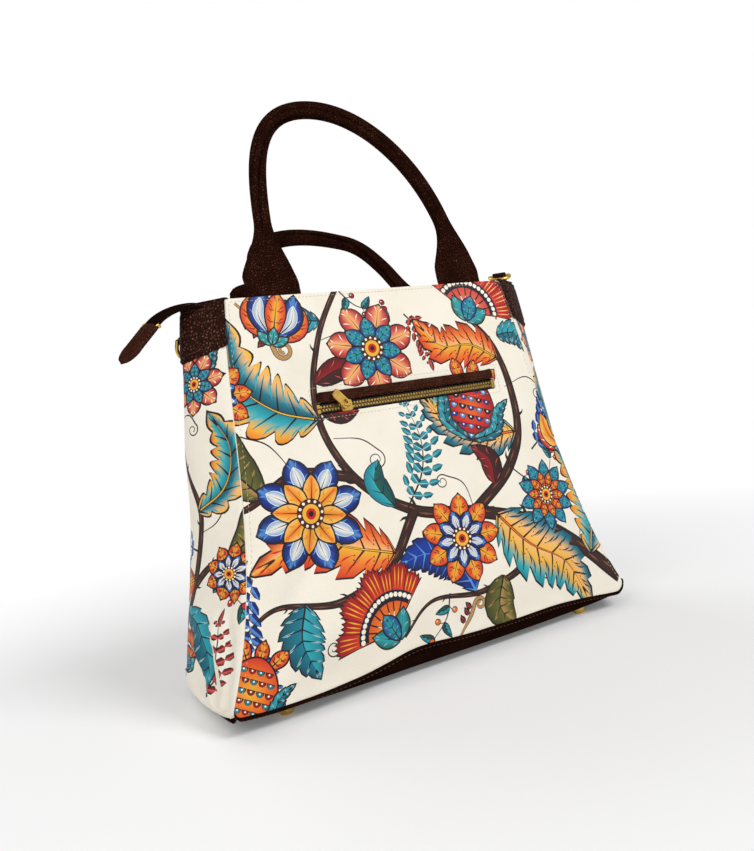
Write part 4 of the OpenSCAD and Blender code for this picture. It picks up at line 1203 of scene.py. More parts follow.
window = roundedRect(pocket["x"], pocket["s"], pocket["width"], 2 * pocket["half"], pocket["round"])
canvasPieces = {
    "frontCanvas": {"node": "front_panel", "outline": panelOutline(), "holes": [window],
                    "print": panelPrint, "flip": False, "place": frontPlace, "grid": 5.0},
    "backCanvas": {"node": "back_panel", "outline": panelOutline(-1), "holes": [], "print": panelPrint,
                   "flip": True, "place": backPlace, "grid": 5.0},
    "leftGussetCanvas": {"node": "left_gusset", "outline": gussetOutline("left"), "holes": [],
                         "print": gussetPrint, "flip": False, "place": leftPlace, "grid": 4.0},
    "rightGussetCanvas": {"node": "right_gusset", "outline": gussetOutline("right"), "holes": [],
                          "print": gussetPrint, "flip": True, "place": rightPlace, "grid": 4.0}}
for name, look in canvasPieces.items():
    piece = sewPanel(name, look["outline"], look["holes"], drawPrint(look["print"], look["flip"]),
                     look["place"], look["grid"])
    loop = look["outline"] * mm
    area = abs(np.sum(loop[:, 0] * np.roll(loop[:, 1], -1) - np.roll(loop[:, 0], -1) * loop[:, 1])) / 2
    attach(piece, "bag")
    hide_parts(look["node"])
print("canvas sewn")


# mesh helpers: rings grown by the extrude operator
def growRings(bm, rings, caps=True):
    row = [bm.verts.new(p) for p in rings[0]]
    count = len(row)
    edges = [bm.edges.new((row[i], row[(i + 1) % count])) for i in range(count)]
    if caps:
        bm.faces.new(row)
    for ring in rings[1:]:
        made = bmesh.ops.extrude_edge_only(bm, edges=edges)["geom"]
        fresh = {v for v in made if isinstance(v, bmesh.types.BMVert)}
        row = [next(e.other_vert(v) for e in v.link_edges if e.other_vert(v) in fresh) for v in row]
        for v, p in zip(row, ring):
            v.co = p
        edges = [bm.edges.get((row[i], row[(i + 1) % count])) for i in range(count)]
    if caps:
        bm.faces.new(row)


def finishPiece(name, bm, material, body, slotName, nodes=(), angle=45, ride=True):
    bmesh.ops.remove_doubles(bm, verts=bm.verts, dist=1e-7)
    bmesh.ops.recalc_face_normals(bm, faces=bm.faces)
    mesh = bpy.data.meshes.new(name)
    bm.to_mesh(mesh)
    bm.free()
    mesh.shade_smooth()
    mesh.set_sharp_from_angle(angle=math.radians(angle))
    mesh.materials.append(material)
    piece = bpy.data.objects.new(name, mesh)
    bpy.context.scene.collection.objects.link(piece)
    if ride:
        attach(piece, body)
    if nodes:
        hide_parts(*nodes)
    return piece


def ringPiece(name, rings, *facts, caps=True):
    bm = bmesh.new()
    growRings(bm, rings, caps)
    return finishPiece(name, bm, *facts)


# height of a thread's middle over the surface
threadLift = 0.05


def addStitches(bm, path, normals, look):
    # short thread capsules along a line of points in metres, lying on the surface
    path, normals = np.asarray(path, float), np.asarray(normals, float)
    gaps = np.linalg.norm(np.diff(path, axis=0), axis=1)
    total = np.concatenate([[0], np.cumsum(gaps)])
    pitch = (look["length"] + look["gap"]) * mm
    count = max(1, int(total[-1] / pitch))
    at = lambda rows, d: np.array([np.interp(d, total, rows[:, i]) for i in range(3)])
    for k in range(count):
        d = (k + 0.5) * total[-1] / count
        a, b = at(path, d - look["length"] * mm / 2), at(path, d + look["length"] * mm / 2)
        along = Vector(b - a).normalized()
        up = Vector(at(normals, d)).normalized()
        side = up.cross(along).normalized()
        up = along.cross(side)
        turn = Matrix((along * look["length"] * mm / 2, side * look["thick"] * mm / 2,
                       up * look["thick"] * mm * 0.42)).transposed().to_4x4()
        place = Matrix.Translation(Vector((a + b) / 2) + up * threadLift * mm) @ turn
        bmesh.ops.create_uvsphere(bm, u_segments=6, v_segments=5, radius=1, matrix=place)


# handles: flat leaf inside the top edge, tab that rolls up, then a tube with a seam ridge
handleLook = {
    "front": {"fold": (-13.219, 307.48), "rise": 8.0, "drop": 138, "apex": -32, "near": 64, "far": 60,
              "lean": (0, 0, 0), "tube": 13.4, "cup": 2.6, "flap": 8.5, "sag": 0, "inward": 0,
              "tab": (44, 50), "leafLean": math.degrees(slope),
              "seam": ((0.0, 208), (0.35, 218), (0.8, 292), (1.1, 322), (2.0, 322))},
    "rear": {"fold": (13.959, 303.041), "rise": 3.5, "drop": 147, "apex": 57, "near": 99, "far": 48,
             "lean": (59, 89, 35), "tube": 14.6, "cup": -1.6, "flap": 0, "sag": 8, "inward": 7,
             "tab": (50, 40), "leafLean": -math.degrees(slope),
             "seam": ((0.0, 215), (0.6, 240), (1.2, 300), (2.0, 320))},
    "span": 172, "foldThick": 2.4, "leafThick": 1.2, "leafDeep": 22,
    "sides": 80, "ridge": 1.5, "ridgeWide": 0.3, "groove": 2.0, "grooveAt": 0.5, "tubeFrom": 22,
    "tubeBy": 34, "bend": 5.0}


def cubic(p, t):
    p = [np.asarray(q, float) for q in p]
    return p[0] * (1 - t) ** 3 + p[1] * 3 * t * (1 - t) ** 2 + p[2] * 3 * t * t * (1 - t) + p[3] * t ** 3


def archPoint(t, h):
    x = handleLook["span"] / 2
    if t < 1:
        return cubic([(-x, 0), (-x, h["drop"] / 2), (h["apex"] - h["near"], h["drop"]),
                      (h["apex"], h["drop"])], t)
    return cubic([(h["apex"], h["drop"]), (h["apex"] + h["far"], h["drop"]), (x, h["drop"] / 2), (x, 0)],
                 t - 1)


def rootLean(x, h):
    return math.radians(mix(h["lean"][0], h["lean"][1], x / handleLook["span"] + 0.5))


def sheetPoint(p, h):
    # the sheet that the arch lies in leans back as it rises
    root, tip = rootLean(p[0], h), math.radians(h["lean"][2])
    now = mix(root, tip, p[1] / h["drop"])
    k = (tip - root) / h["drop"]
    if abs(k) < 1e-6:
        return np.array([p[0], h["fold"][0] + p[1] * math.sin(root),
                         h["fold"][1] + p[1] * math.cos(root)]), now
    return np.array([p[0], h["fold"][0] + (math.cos(root) - math.cos(now)) / k,
                     h["fold"][1] + (math.sin(now) - math.sin(root)) / k]), now


def handleRings(h):
    lead = handleLook["bend"]
    steps = np.concatenate([np.linspace(0, 0.5, 30)[1:], np.linspace(0.5, 1.5, 60)[1:],
                            np.linspace(1.5, 2, 30)[1:-1]])
    stations = []
    for side in (-1, 1):
        leaf = []
        low = math.radians(h["leafLean"])
        for r in np.linspace(-(handleLook["leafDeep"] + h["rise"]), -lead, 9):
            place = np.array([side * handleLook["span"] / 2, h["fold"][0] + r * math.sin(low),
                              h["fold"][1] + r * math.cos(low)])
            leaf.append((place, low, r, 0.0 if side < 0 else 2.0))
        # soft bend over the fold line
        high = rootLean(side * handleLook["span"] / 2, h)
        a, b = leaf[-1][0], sheetPoint((side * handleLook["span"] / 2, lead), h)[0]
        da = np.array([0, math.sin(low), math.cos(low)]) * lead * 0.75
        db = np.array([0, math.sin(high), math.cos(high)]) * lead * 0.75
        for t in np.linspace(0, 1, 8)[1:-1]:
            leaf.append((cubic([a, a + da, b - db, b], t), mix(low, high, smooth(t)), mix(-lead, lead, t),
                         0.0 if side < 0 else 2.0))
        stations.append(leaf)
    arch = []
    for t in steps:
        p = archPoint(t, h)
        if p[1] >= lead:
            place, now = sheetPoint(p, h)
            if t > 1:
                # the right leg hangs a little over the edge it is folded on
                share = float(smooth((p[1] - lead) / 22) * smooth((115 - p[1]) / 60))
                place = place - np.array([0, 0, h["sag"] * share])
            else:
                share = float(smooth((p[1] - lead) / 20) * smooth((110 - p[1]) / 50))
                place = place + np.array([h["inward"] * share, 0, 0])
            arch.append((place, now, p[1], t))
    line = stations[0] + arch + stations[1][::-1]
    places = np.array([s[0] for s in line])
    tangents = np.gradient(places, axis=0)
    rings = []
    angles = np.linspace(0, 2 * np.pi, handleLook["sides"] + 1)[:-1]
    for (place, now, r, t), tangent in zip(line, tangents):
        tangent = tangent / np.linalg.norm(tangent)
        across = np.cross((0, math.cos(now), -math.sin(now)), tangent)
        across /= np.linalg.norm(across)
        out = np.cross(tangent, across)
        f = float(smooth(r / h["tab"][1]))
        w = mix(h["tab"][0], h["tube"], f) / 2
        flat = mix(handleLook["leafThick"], handleLook["foldThick"], float(smooth((r + 6) / 8)))
        d = mix(flat, h["tube"], f) / 2
        power = mix(0.5, 1.0, f)
        seam = math.radians(float(np.interp(t, *zip(*h["seam"]))))
        gap = (angles - seam + np.pi) % (2 * np.pi) - np.pi
        tube = float(smooth((r - handleLook["tubeFrom"]) / handleLook["tubeBy"]))
        ridge = handleLook["ridge"] * np.exp(-(gap / handleLook["ridgeWide"]) ** 4)
        ridge = ridge - handleLook["groove"] * np.exp(-((gap - handleLook["grooveAt"]) / 0.13) ** 2)
        ridge = ridge - handleLook["groove"] * 0.5 * np.exp(-((gap + handleLook["grooveAt"]) / 0.15) ** 2)
        c, s = np.cos(angles), np.sin(angles)
        x = w * np.sign(c) * np.abs(c) ** power + ridge * tube * c
        y = d * np.sign(s) * np.abs(s) ** power + ridge * tube * s
        # the tab is cupped across its width
        roll = float(smooth(r / 14)) * (1 - f)
        y = y + roll * h["cup"] * (x / w) ** 2
        if t < 1:
            # the left tab folds back beyond a sharp crease
            turned = np.clip((-0.3 - x / w) / 0.7, 0, 1) ** 1.2
            crease = 0.2 * np.exp(-((x / w + 0.28) / 0.1) ** 2)
            y = y + roll * h["flap"] * (turned - crease)
        rings.append((place + np.outer(x, across) + np.outer(y, out)) * mm)
    return rings


def makeHandle(which):
    h = handleLook[which]
    body = which + "_handle"
    piece = ringPiece(which + "HandleLeather", handleRings(h), handleLeather, body, "leather",
                      (body, body + "_leaves"), 60, False)
    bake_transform(piece)
    return piece


for which in ("front", "rear"):
    makeHandle(which)
print("handles rolled")

# leather corner patches over the tops of the gussets
patchLook = {"height": 35, "drop": 8, "out": 0.15, "thick": 1.5, "border": 4.0, "rows": 20, "columns": 48,
             "stitch": {"length": 2.2, "gap": 1.0, "thick": 0.55}}


def patchPoint(q, share, out):
    low = ((shell["height"] - patchLook["height"] - patchLook["drop"] * hump(q, 1.0) - shell["seam"])
           / rise)
    v = mix(low, 1, share)
    y = q * halfDepth(v)
    lift = hump(q, v)
    return np.array([halfWidth(v) + bulge(v) * lift + out * steep(q, v), y,
                     mix(shell["seam"], shell["height"], v) - shell["ridgeDip"] * lift * v ** 6])


def makePatch(which):
    sign = np.array([1 if which == "right" else -1, 1, 1])
    rings = []
    shares = np.linspace(0, 1, patchLook["rows"])
    for q in np.linspace(-1, 1, patchLook["columns"]):
        edge = min(1.0, (1 - abs(q)) * 24 / 1.6)
        ring = [patchPoint(q, 0.0, patchLook["out"])]
        for share in shares:
            run = min(share, 1 - share) * patchLook["height"]
            near = min(run, (1 - abs(q)) * 22)
            full = (patchLook["thick"] * math.sqrt(max(0.0, 1 - (1 - min(1.0, near / 1.2)) ** 2))
                    * mix(0.55, 1, edge))
            groove = 0.55 * math.exp(-((near - patchLook["border"]) / 0.55) ** 2)
            ring.append(patchPoint(q, share, patchLook["out"] + 0.25 + full - groove))
        top = patchPoint(q, 1.0, 0.0)
        for out, up in ((1.1, 0.9), (0.2, 1.3), (-0.8, 1.2), (-1.5, 0.4)):
            ring.append(patchPoint(q, 1.0, out) + np.array([0, 0, up]))
        ring.append(patchPoint(q, 1.0, -1.5) + np.array([0, 0, 0.02]))
        ring.append(top + np.array([0.02, 0, 0.02]))
        rings.append(np.array(ring) * sign * mm)
    ringPiece(which + "PatchLeather", rings, leather, "bag", "leather", (which + "_patch",), 50)
    # stitches along the groove
    bm = bmesh.new()
    row = lambda points: (np.array([p[0] for p in points]) * sign * mm,
                          np.array([p[1] for p in points]) * sign)
    share = patchLook["border"] / patchLook["height"]
    normal = lambda q: np.array([halfDepth(1.0), np.sign(q) * bulge(1.0), 3.0])
    level = patchLook["out"] + patchLook["thick"] - 0.15
    across = np.linspace(-0.80, 0.80, 60)
    upward = np.linspace(share, 1 - share, 20)
    lines = [[(q, s) for q in across] for s in (share, 1 - share)]
    lines += [[(q, s) for s in upward] for q in (-0.80, 0.80)]
    for line in lines:
        points = [(patchPoint(q, s, level), normal(q)) for q, s in line]
        addStitches(bm, *row(points), patchLook["stitch"])
    finishPiece(which + "PatchThread", bm, brownThread, "bag", "leather")


for which in ("left", "right"):
    makePatch(which)
print("patches set")

# base: a shallow leather tray with a piped rim
baseLook = {"tuck": 7, "end": 10, "sag": 4.5, "stitch": {"length": 2.4, "gap": 1.3, "thick": 0.6}}


def under(x):
    return (baseLook["end"] - baseLook["sag"]
            * (1 - np.minimum(1, np.abs(2 * x / shell["bottomWidth"])) ** 4))


def basePlan(inset, across=104, bend=30):
    a, b = shell["bottomWidth"] / 2 - inset, shell["bottomDepth"] / 2 - inset
    t = np.sin(np.linspace(-1, 1, across) * 1.35) / math.sin(1.35)
    q = (np.sin(np.linspace(-1, 1, bend + 2) * 1.3) / math.sin(1.3))[1:-1]
    end = a + bulge(0.0) * hump(q, 0.0)
    front = np.stack([a * t, np.full(across, -b)], -1)
    right = np.stack([end, b * q], -1)
    return np.vstack([front, right, -front, -right]), t, q


def rimRing(out, drop):
    # the top edge runs along the seams, on the cloth's own slope
    t, q = basePlan(0)[1:]

    def run(t):
        x = np.where(t < 0, t * hemEnds[0], t * hemEnds[1])
        v = (hem(x) - drop) / slant
        return np.stack([x + t * out, -halfDepth(v) - out, shell["seam"] + rise * v], -1)

    def end(foot, low):
        r = foot - low
        lift = bow(q, r)
        level = low + lift
        share = np.clip(lift / 6, 0.12, 1)
        s = level - drop * share
        v = s / slant
        x = (halfWidth(np.maximum(level / slant, 0)) + bulge(0.0) * hump(q, 0.0) - rollIn(level)
             + out * share)
        return np.stack([x, q * (halfDepth(v) + out * np.clip(lift / 6, 0, 1)), shell["seam"] + rise * v],
                        -1)

    return np.vstack([run(t), end(cornerFoot[1], shell["gussetFoot"]["right"]), run(-t) * (1, -1, 1),
                      end(cornerFoot[0], shell["gussetFoot"]["left"]) * (-1, -1, 1)])


def floorRing(inset, lift):
    plan = basePlan(inset)[0]
    return np.column_stack([plan, under(plan[:, 0]) + lift])


def wallRing(share, out, drop=0.0, inset=baseLook["tuck"], lift=0.0):
    # between the turn of the underside and the rim
    return mix(floorRing(inset, lift), rimRing(out, drop), share)


def makeBase():
    rings = [floorRing(inset, lift) for inset, lift in (
        (64, 0), (40, 0), (20, 0), (10.5, 0), (8.4, 0.15))]
    rings += [wallRing(share, out) for share, out in (
        (0.05, 0.3), (0.14, 0.7), (0.28, 0.9), (0.44, 0.9), (0.60, 0.7), (0.76, 0.35))]
    rings += [rimRing(out, drop) for out, drop in (
        (-0.5, 2.9), (-0.45, 2.6), (0.1, 2.2), (0.5, 1.6), (0.55, 1.0), (0.25, 0.35), (-0.4, 0.05),
        (-1.2, 0.2), (-2.0, 0.9), (-2.3, 2.0))]
    rings += [wallRing(0.4, -2.2, 2, 9.3, 2)]
    rings += [floorRing(inset, 2.1) for inset in (9.6, 20, 40, 64)]
    rings = [ring * mm for ring in rings]
    ringPiece("baseLeather", rings, smoothLeather, "bag", "base_leather", ("base_panel",), 60, caps=False)
    bm = bmesh.new()
    line = rimRing(-0.25, 2.75)
    line = np.vstack([line, line[:1]]) * mm
    tangent = np.gradient(line, axis=0)
    normals = np.cross(tangent / np.maximum(1e-9, np.linalg.norm(tangent, axis=1))[:, None], (0, 0, 1.0))
    addStitches(bm, line, normals, baseLook["stitch"])
    finishPiece("baseThread", bm, brownThread, "bag", "base_leather")


makeBase()
print("base shaped")


# swept flat straps: rounded section along a line, with its own up and across
# squareness of a strap's section
strapPower = 0.4


def strapRings(places, across, width, thick, sides):
    places = np.asarray(places, float)
    tangents = np.gradient(places, axis=0)
    angles = np.linspace(0, 2 * np.pi, sides + 1)[:-1]
    c, s = np.cos(angles), np.sin(angles)
    rings = []
    for i, (place, tangent) in enumerate(zip(places, tangents)):
        side = np.asarray(across[i] if np.ndim(across) > 1 else across, float)
        side = side / np.linalg.norm(side)
        up = np.cross(side, tangent)
        up /= np.linalg.norm(up)
        x = width / 2 * np.sign(c) * np.abs(c) ** strapPower
        y = thick / 2 * np.sign(s) * np.abs(s) ** strapPower
        rings.append((place + np.outer(x, side) + np.outer(y, up)) * mm)
    return rings


# zip tail over the left end, and the leather tab that caps it
tailLook = {"curve": ((-121, 293.0), (-134, 304), (-164, 302), (-178, 288)), "width": 24, "thick": 1.2,
            "twist": 17, "tabLength": 37, "tabWidth": 27, "tabThick": 4.0,
            "stitch": {"length": 2.0, "gap": 1.0, "thick": 0.5}}


def makeTail():
    curve = [np.array([p[0], 0, p[1]]) for p in tailLook["curve"]]
    t = np.linspace(0, 1, 40)
    places = np.array([cubic(curve, a) for a in t])
    slopes = np.gradient(places, axis=0)
    slopes /= np.linalg.norm(slopes, axis=1)[:, None]
    turns = np.radians(tailLook["twist"]) * smooth(t / 0.45)
    sides = [np.array([0, math.cos(a), 0]) - math.sin(a) * np.cross(d, (0, 1, 0))
             for a, d in zip(turns, slopes)]
    rings = strapRings(places, np.array(sides), tailLook["width"], tailLook["thick"], 20)
    ringPiece("zipTailTape", rings, tapeCloth, "bag", "tape", ("zip_tail",))
    # padded tab: two skins round a core, with a raised middle
    end, before = curve[3], curve[2]
    along = (end - before) / np.linalg.norm(end - before)
    side, up = sides[-1], np.cross(along, sides[-1])
    length, half = tailLook["tabLength"], tailLook["tabWidth"] / 2
    rings = []
    start = length - half

    def reach(d):
        # half width of the tab: straight sides, then a round end
        if d < start + 1:
            return half - 0.6
        return math.sqrt(max(0.0, (half - 1) ** 2 - (d - length + half) ** 2)) + 0.9

    angles = np.linspace(0, 2 * np.pi, 49)[:-1]
    roundEnd = start + 1 + (half - 1.2) * np.sin(np.linspace(0.1, 1.57, 12))
    for d in np.concatenate([[0.1, 0.5, 1.2], np.linspace(2.5, start + 1, 10), roundEnd]):
        w = max(0.6, reach(d))
        near = min(d, length - d)
        thick = tailLook["tabThick"] / 2 * (0.42 + 0.58 * float(smooth(near / 5.0)))
        c, s = np.cos(angles), np.sin(angles)
        x = w * np.sign(c) * np.abs(c) ** 0.7
        rim = w - np.abs(x)
        skin = tailLook["tabThick"] / 2 * (0.34 + 0.66 * smooth((rim - 2.2) / 3.0))
        y = np.sign(s) * np.minimum(np.abs(thick * np.sign(s) * np.abs(s) ** 0.5), skin)
        rings.append((end + along * d + np.outer(x, side) + np.outer(y, up)) * mm)
    ringPiece("zipEndTabLeather", rings, lipLeather, "bag", "leather", ("zip_end_tab",), 60)
    bm = bmesh.new()
    for face in (-1, 1):
        arc = [(start + (half - 2.9) * math.sin(a), -(half - 2.9) * math.cos(a))
               for a in np.linspace(0.15, 2.99, 14)]
        line = [(3.0, -half + 2.2), (start, -half + 2.4), *arc, (start, half - 2.4), (3.0, half - 2.2)]
        line = flow(line, 60)
        points = np.array([end + along * d + side * y + up * face * tailLook["tabThick"] * 0.27
                           for d, y in line]) * mm
        addStitches(bm, points, np.tile(up * face, (len(points), 1)), tailLook["stitch"])
    finishPiece("zipEndTabThread", bm, brownThread, "bag", "leather")
    # metal clips on the corners where the tape enters
    bm = bmesh.new()
    for edge in (-1, 1):
        seat = Matrix((Vector(along), Vector(side), Vector(up))).transposed().to_4x4()
        at = Matrix.Translation(Vector(end + along * 0.9 + side * edge * (half - 1.6)) * mm)
        size = Matrix.Diagonal((0.0022, 0.0032, 0.0030, 1))
        made = bmesh.ops.create_cube(bm, size=1, matrix=at @ seat @ size)["verts"]
        edges = list({e for v in made for e in v.link_edges})
        bmesh.ops.bevel(bm, geom=edges, offset=0.0006, affect="EDGES", segments=2, profile=0.5,
                        material=-1)
    finishPiece("zipEndClips", bm, gold, "bag", "gold")


makeTail()
print("tail hung")

# woven tapes of both zips
mainZip = {"tape": 291.4, "thick": 0.7, "chainHalf": 3.4, "leaf": 1.2}


def makeMainTape(which):
    side = -1 if which == "front" else 1
    v = (mainZip["tape"] - shell["seam"]) / rise
    low = mainZip["chainHalf"] + 0.1
    high = halfDepth(v) - (shell["wall"] + 0.3 + mainZip["leaf"]) / math.cos(slope) - 0.3
    rings = []
    for share in np.linspace(-1, 1, 90):
        ring = []
        for y in np.linspace(low, high, 9):
            dip = shell["ridgeDip"] * hump(y / halfDepth(v), v)
            dipped = min(1.0, (mainZip["tape"] + dip - shell["seam"]) / rise)
            x = halfWidth(dipped) + bulge(dipped) * hump(y / halfDepth(dipped), dipped)
            x = x - shell["wall"] * steep(y / halfDepth(v), v) - 0.7
            wave = 0.12 * math.sin(share * 21 + y * 0.6) * float(smooth((y - low) / 3))
            lift = 0.2 * float(smooth((y - high + 2) / 2))
            ring.append((x * share, side * y, mainZip["tape"] + mainZip["thick"] / 2 + wave + lift))
        ring = np.array(ring)
        thick = np.array([0, 0, mainZip["thick"] / 2 * 0.9])
        rings.append(np.vstack([ring + thick, (ring - thick)[::-1]]) * mm)
    ringPiece("zipTape" + which.capitalize(), rings, tapeCloth, "bag", "tape", ("zip_tape_" + which,), 50)


for which in ("front", "rear"):
    makeMainTape(which)


def makePocketTape(which):
    side = 1 if which == "upper" else -1
    length = pocket["width"] / 2 + 4
    rings = []
    for x in np.linspace(-length, length, 70):
        cross = np.linspace(3.5, 12, 7)
        wave = 0.05 * np.sin(x * 0.4 + cross)
        ring = onFront(np.full(7, pocket["x"] + x), pocket["s"] + side * cross,
                       pocket["chain"] + wave + 0.3)
        back = onFront(np.full(7, pocket["x"] + x), pocket["s"] + side * cross,
                       pocket["chain"] + wave - 0.32)
        rings.append(np.vstack([ring, back[::-1]]))
    ringPiece("pocketTape" + which.capitalize(), rings, tapeCloth, "bag", "tape",
              ("pocket_tape_" + which,), 50)


for which in ("upper", "lower"):
    makePocketTape(which)


# padded leather lip over the pocket's zip, and the stitched frame round it
def makeLip():
    half = pocket["width"] / 2 - pocket["lipIn"]
    h = pocket["lipHeight"]
    rings = []
    angles = np.linspace(0, np.pi, 19)
    for x in np.concatenate([-half + 3 * (1 - np.cos(np.linspace(0.25, 1.57, 6))),
                             np.linspace(-half + 4, half - 4, 60),
                             half - 3 * (1 - np.cos(np.linspace(1.57, 0.25, 6)))]):
        near = half - abs(x)
        fit = float(np.clip(near / 3.0, 0, 1)) ** 0.5
        up = h / 2 * (1 - np.cos(angles))
        pad = 0.5 * pocket["lipThick"] * (1 + 0.06 * math.sin(x * 0.23) + 0.04 * math.sin(x * 0.61))
        groove = 0.5 * np.exp(-((up - 2.4) / 0.5) ** 2)
        out = 0.7 * np.sin(angles) ** 0.45 + pad * np.sin(angles) - groove * np.sin(angles)
        out = 0.15 + out * (0.25 + 0.75 * fit)
        squeeze = h / 2 + (up - h / 2) * (0.72 + 0.28 * fit)
        face = onFront(np.full(19, pocket["x"] + x), pocket["s"] + pocket["lipFoot"] + squeeze, out)
        foot = onFront(np.full(2, pocket["x"] + x), pocket["s"] + pocket["lipFoot"] + squeeze[[-1, 0]],
                       0.12)
        rings.append(np.vstack([face, foot]))
    piece = ringPiece("pocketLipLeather", rings, lipLeather, "bag", "leather", ("pocket_lip",), 60)
    bm = bmesh.new()
    x = np.linspace(-half + 4, half - 4, 80)
    line = onFront(pocket["x"] + x, np.full(80, pocket["s"] + pocket["lipFoot"] + 2.4), 1.35)
    normal = np.tile((0, -math.cos(slope), math.sin(slope)), (80, 1))
    addStitches(bm, line, normal, {"length": 2.2, "gap": 1.0, "thick": 0.5})
    finishPiece("pocketLipThread", bm, brownThread, "bag", "leather")


makeLip()

canvasStitch = {"length": 2.3, "gap": 0.9, "thick": 0.42}


def makeCanvasThread():
    bm = bmesh.new()
    normal = np.array((0, -math.cos(slope), math.sin(slope)))
    frameLine = roundedRect(pocket["x"], pocket["s"] + 4.2, 176, 24.5, 1.5, 3)
    frameLine = np.vstack([frameLine, frameLine[:1]])
    dense = np.vstack([np.linspace(a, b, 12)[:-1] for a, b in zip(frameLine[:-1], frameLine[1:])]
                      + [frameLine[-1:]])
    addStitches(bm, frontPlace(dense[:, 0], dense[:, 1], 0.04), np.tile(normal, (len(dense), 1)),
                canvasStitch)
    x = np.linspace(-124, 124, 90)
    for place, face in ((frontPlace, 1), (backPlace, -1)):
        addStitches(bm, place(x, np.full(90, slant - 2.6), 0.04), np.tile(normal * (1, face, 1), (90, 1)),
                    canvasStitch)
    for place, side in ((frontPlace, 1), (backPlace, -1)):
        for end in (-1, 1):
            v = np.linspace(0.02, 0.99, 80)
            line = place(end * (halfWidth(v) - 3.4), v * slant, 0.02)
            addStitches(bm, line, np.tile(normal * (1, side, 1), (80, 1)), dict(canvasStitch, gap=1.6))
    finishPiece("canvasThread", bm, creamThread, "bag", "canvas")


makeCanvasThread()
print("pocket dressed")

# leather straps that hold the rings: a folded band round the eye
ringLook = {"place": (140.5, 8.5, 300), "turn": -32.196, "tilt": 9.46, "seat": 2.9, "eye": 1.9,
            "wall": 1.5, "width": 12, "length": 20, "shift": 7, "right": 7, "left": -26}


def makeRingStrap(which):
    eye = ringLook["seat"] + ringLook["eye"] + ringLook["wall"]
    up = -1 if which == "right" else 1
    mid = ringLook["eye"] + ringLook["wall"] / 2
    tilt = Matrix.Rotation(math.radians(ringLook["tilt"]), 3, "X")
    turn = Matrix.Rotation(math.radians(ringLook["turn"]), 3, "Z") @ tilt
    flat = []
    back = -mid
    for d in np.linspace(ringLook["length"], 1.5, 12):
        flat.append((back, up * d))
    for a in np.linspace(0, 1, 22):
        angle = (math.radians(mix(180 - 5, 180 + 310, a)) if up > 0
                 else math.radians(mix(180 + 5, 180 - 310, a)))
        flat.append((mid * math.cos(angle), mid * math.sin(angle)))
    front = back + ringLook["wall"] * 0.62
    for d in np.linspace(5.0, ringLook["length"] - 0.5, 10):
        flat.append((front, up * d))
    flat = flow(flat, 80)
    places = np.array([turn @ Vector((ringLook["shift"], eye + y, ringLook[which] + z))
                       for y, z in flat]) + np.array(ringLook["place"])
    across = np.array(turn @ Vector((1, 0, 0)))
    sign = np.array([1, 1, 1]) if which == "right" else np.array([-1, 1, 1])
    thick = ringLook["wall"] * 0.82
    rings = [ring * sign for ring in strapRings(places, across, ringLook["width"], thick, 16)]
    ringPiece(which + "RingStrap", rings, leather, "bag", "leather", (which + "_ring_strip",), 60)


for which in ("left", "right"):
    makeRingStrap(which)
print("straps folded")

# solids that keep their own shape get their finish
finishes = {"gold": (gold, ("feet", "foot_washers", "left_ring", "right_ring", "zip_stops", "zip_slider",
                            "zip_pull", "pocket_stops", "pocket_slider", "pocket_pull")),
            "main": (mainChain, ("zip_teeth_front", "zip_teeth_rear")),
            "pocket": (pocketChain, ("pocket_teeth_upper", "pocket_teeth_lower")),
            "cotton": (cottonCloth, ("lining", "pocket_pouch")), "board": (boardFibre, ("base_board",))}
for material, nodes in finishes.values():
    for node in nodes:
        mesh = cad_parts[node].data
        mesh.materials.clear()
        mesh.materials.append(material)
print("metal and lining finished")

# camera at the photograph's angle, turned with its horizon
cameraLook = {"fov": 58, "azimuth": -28.08, "elevation": 1.49, "roll": -8.58, "distance": 640.1,
              "target": (-7.5, 0, 189.1)}


def placeCamera():
    az, el, roll = (math.radians(cameraLook[k]) for k in ("azimuth", "elevation", "roll"))
    target = Vector(cameraLook["target"]) * mm
    toward = Vector((-math.sin(az) * math.cos(el), math.cos(az) * math.cos(el), -math.sin(el)))
    right = toward.cross(Vector((0, 0, 1))).normalized()
    up = right.cross(toward)
    across = math.cos(roll) * right + math.sin(roll) * up
    above = -math.sin(roll) * right + math.cos(roll) * up
    data = bpy.data.cameras.new("photoCamera")
    data.sensor_width = 36
    data.lens = 18 / math.tan(math.radians(cameraLook["fov"] / 2))
    data.clip_start = 0.01
    camera = bpy.data.objects.new("photoCamera", data)
    place = target - toward * cameraLook["distance"] * mm
    turn = Matrix((across, above, -toward)).transposed().to_4x4()
    camera.matrix_world = Matrix.Translation(place) @ turn
    bpy.context.scene.collection.objects.link(camera)
    bpy.context.scene.camera = camera


placeCamera()

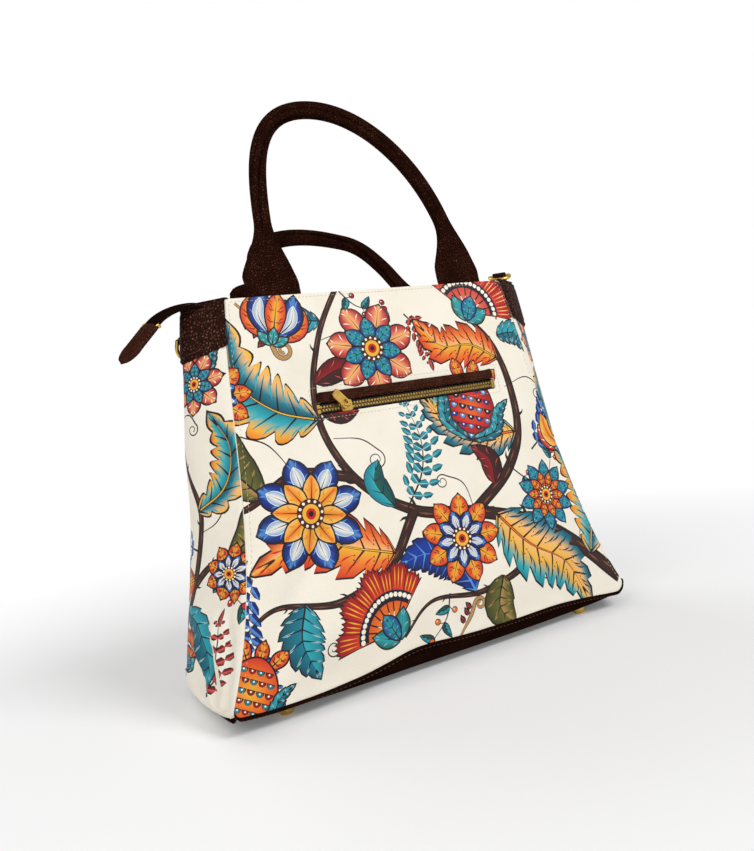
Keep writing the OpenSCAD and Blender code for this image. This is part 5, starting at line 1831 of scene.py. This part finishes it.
lamps = [
    {"name": "keyLamp", "at": (0.75, -1.5, 1.7), "size": 0.9, "power": 28},
    {"name": "fillLamp", "at": (-1.6, -0.9, 0.9), "size": 1.2, "power": 13},
    {"name": "rimLamp", "at": (-0.5, 1.5, 1.5), "size": 1.2, "power": 12}]
for lamp in lamps:
    data = bpy.data.lights.new(lamp["name"], "AREA")
    data.size, data.energy = lamp["size"], lamp["power"]
    light = bpy.data.objects.new(lamp["name"], data)
    light.location = lamp["at"]
    light.rotation_euler = (Vector((0, 0, 0.2)) - Vector(lamp["at"])).to_track_quat("-Z", "Y").to_euler()
    bpy.context.scene.collection.objects.link(light)


def makeWorld():
    world = bpy.data.worlds.new("studio")
    bpy.context.scene.world = world
    world.use_nodes = True
    start = Wire(world.node_tree)
    seen, glossy, through = (start.ray("Is %s Ray" % kind)
                             for kind in ("Camera", "Glossy", "Transmission"))
    strength = 0.36 + (seen + glossy * 0.2 + through).limit(0.0, 1.0) * 0.64
    world.node_tree.links.new(strength.socket, world.node_tree.nodes["Background"].inputs["Strength"])
    world.node_tree.nodes["Background"].inputs["Color"].default_value = (1, 1, 1, 1)


makeWorld()


def makeFloor():
    bm = bmesh.new()
    bmesh.ops.create_circle(bm, cap_ends=True, segments=64, radius=30)
    mesh = bpy.data.meshes.new("floor")
    bm.to_mesh(mesh)
    bm.free()
    floor = bpy.data.objects.new("floor", mesh)
    bpy.context.scene.collection.objects.link(floor)
    material, start, dull = newMaterial("paleFloor", Base_Color=(0.9, 0.9, 0.9, 1), Roughness=0.9)
    seen, glossy = start.ray("Is Camera Ray"), start.ray("Is Glossy Ray")
    place = start.place()
    far = start.make("ShaderNodeVectorMath", {"operation": "LENGTH"}, {0: place}, 1).limit(0.28, 0.75)
    glow = start.make("ShaderNodeEmission", None, {"Color": (1, 1, 1, 1), "Strength": 1.0})
    share = (seen + glossy).limit(0.0, 1.0) * (0.12 + far * 0.88)
    both = start.make("ShaderNodeMixShader", None,
                      {0: share, 1: Wire(start.tree, dull.outputs[0]), 2: glow})
    feed(both, start.tree.nodes["Material Output"], "Surface")
    mesh.materials.append(material)
    floor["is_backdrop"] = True


makeFloor()
bpy.context.scene.view_settings.view_transform = "Standard"

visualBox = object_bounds()
plain = lambda box: [[float(c) for c in corner] for corner in box]
{"cad": plain(cadBox), "visual": plain(visualBox)}
print("scene measured")
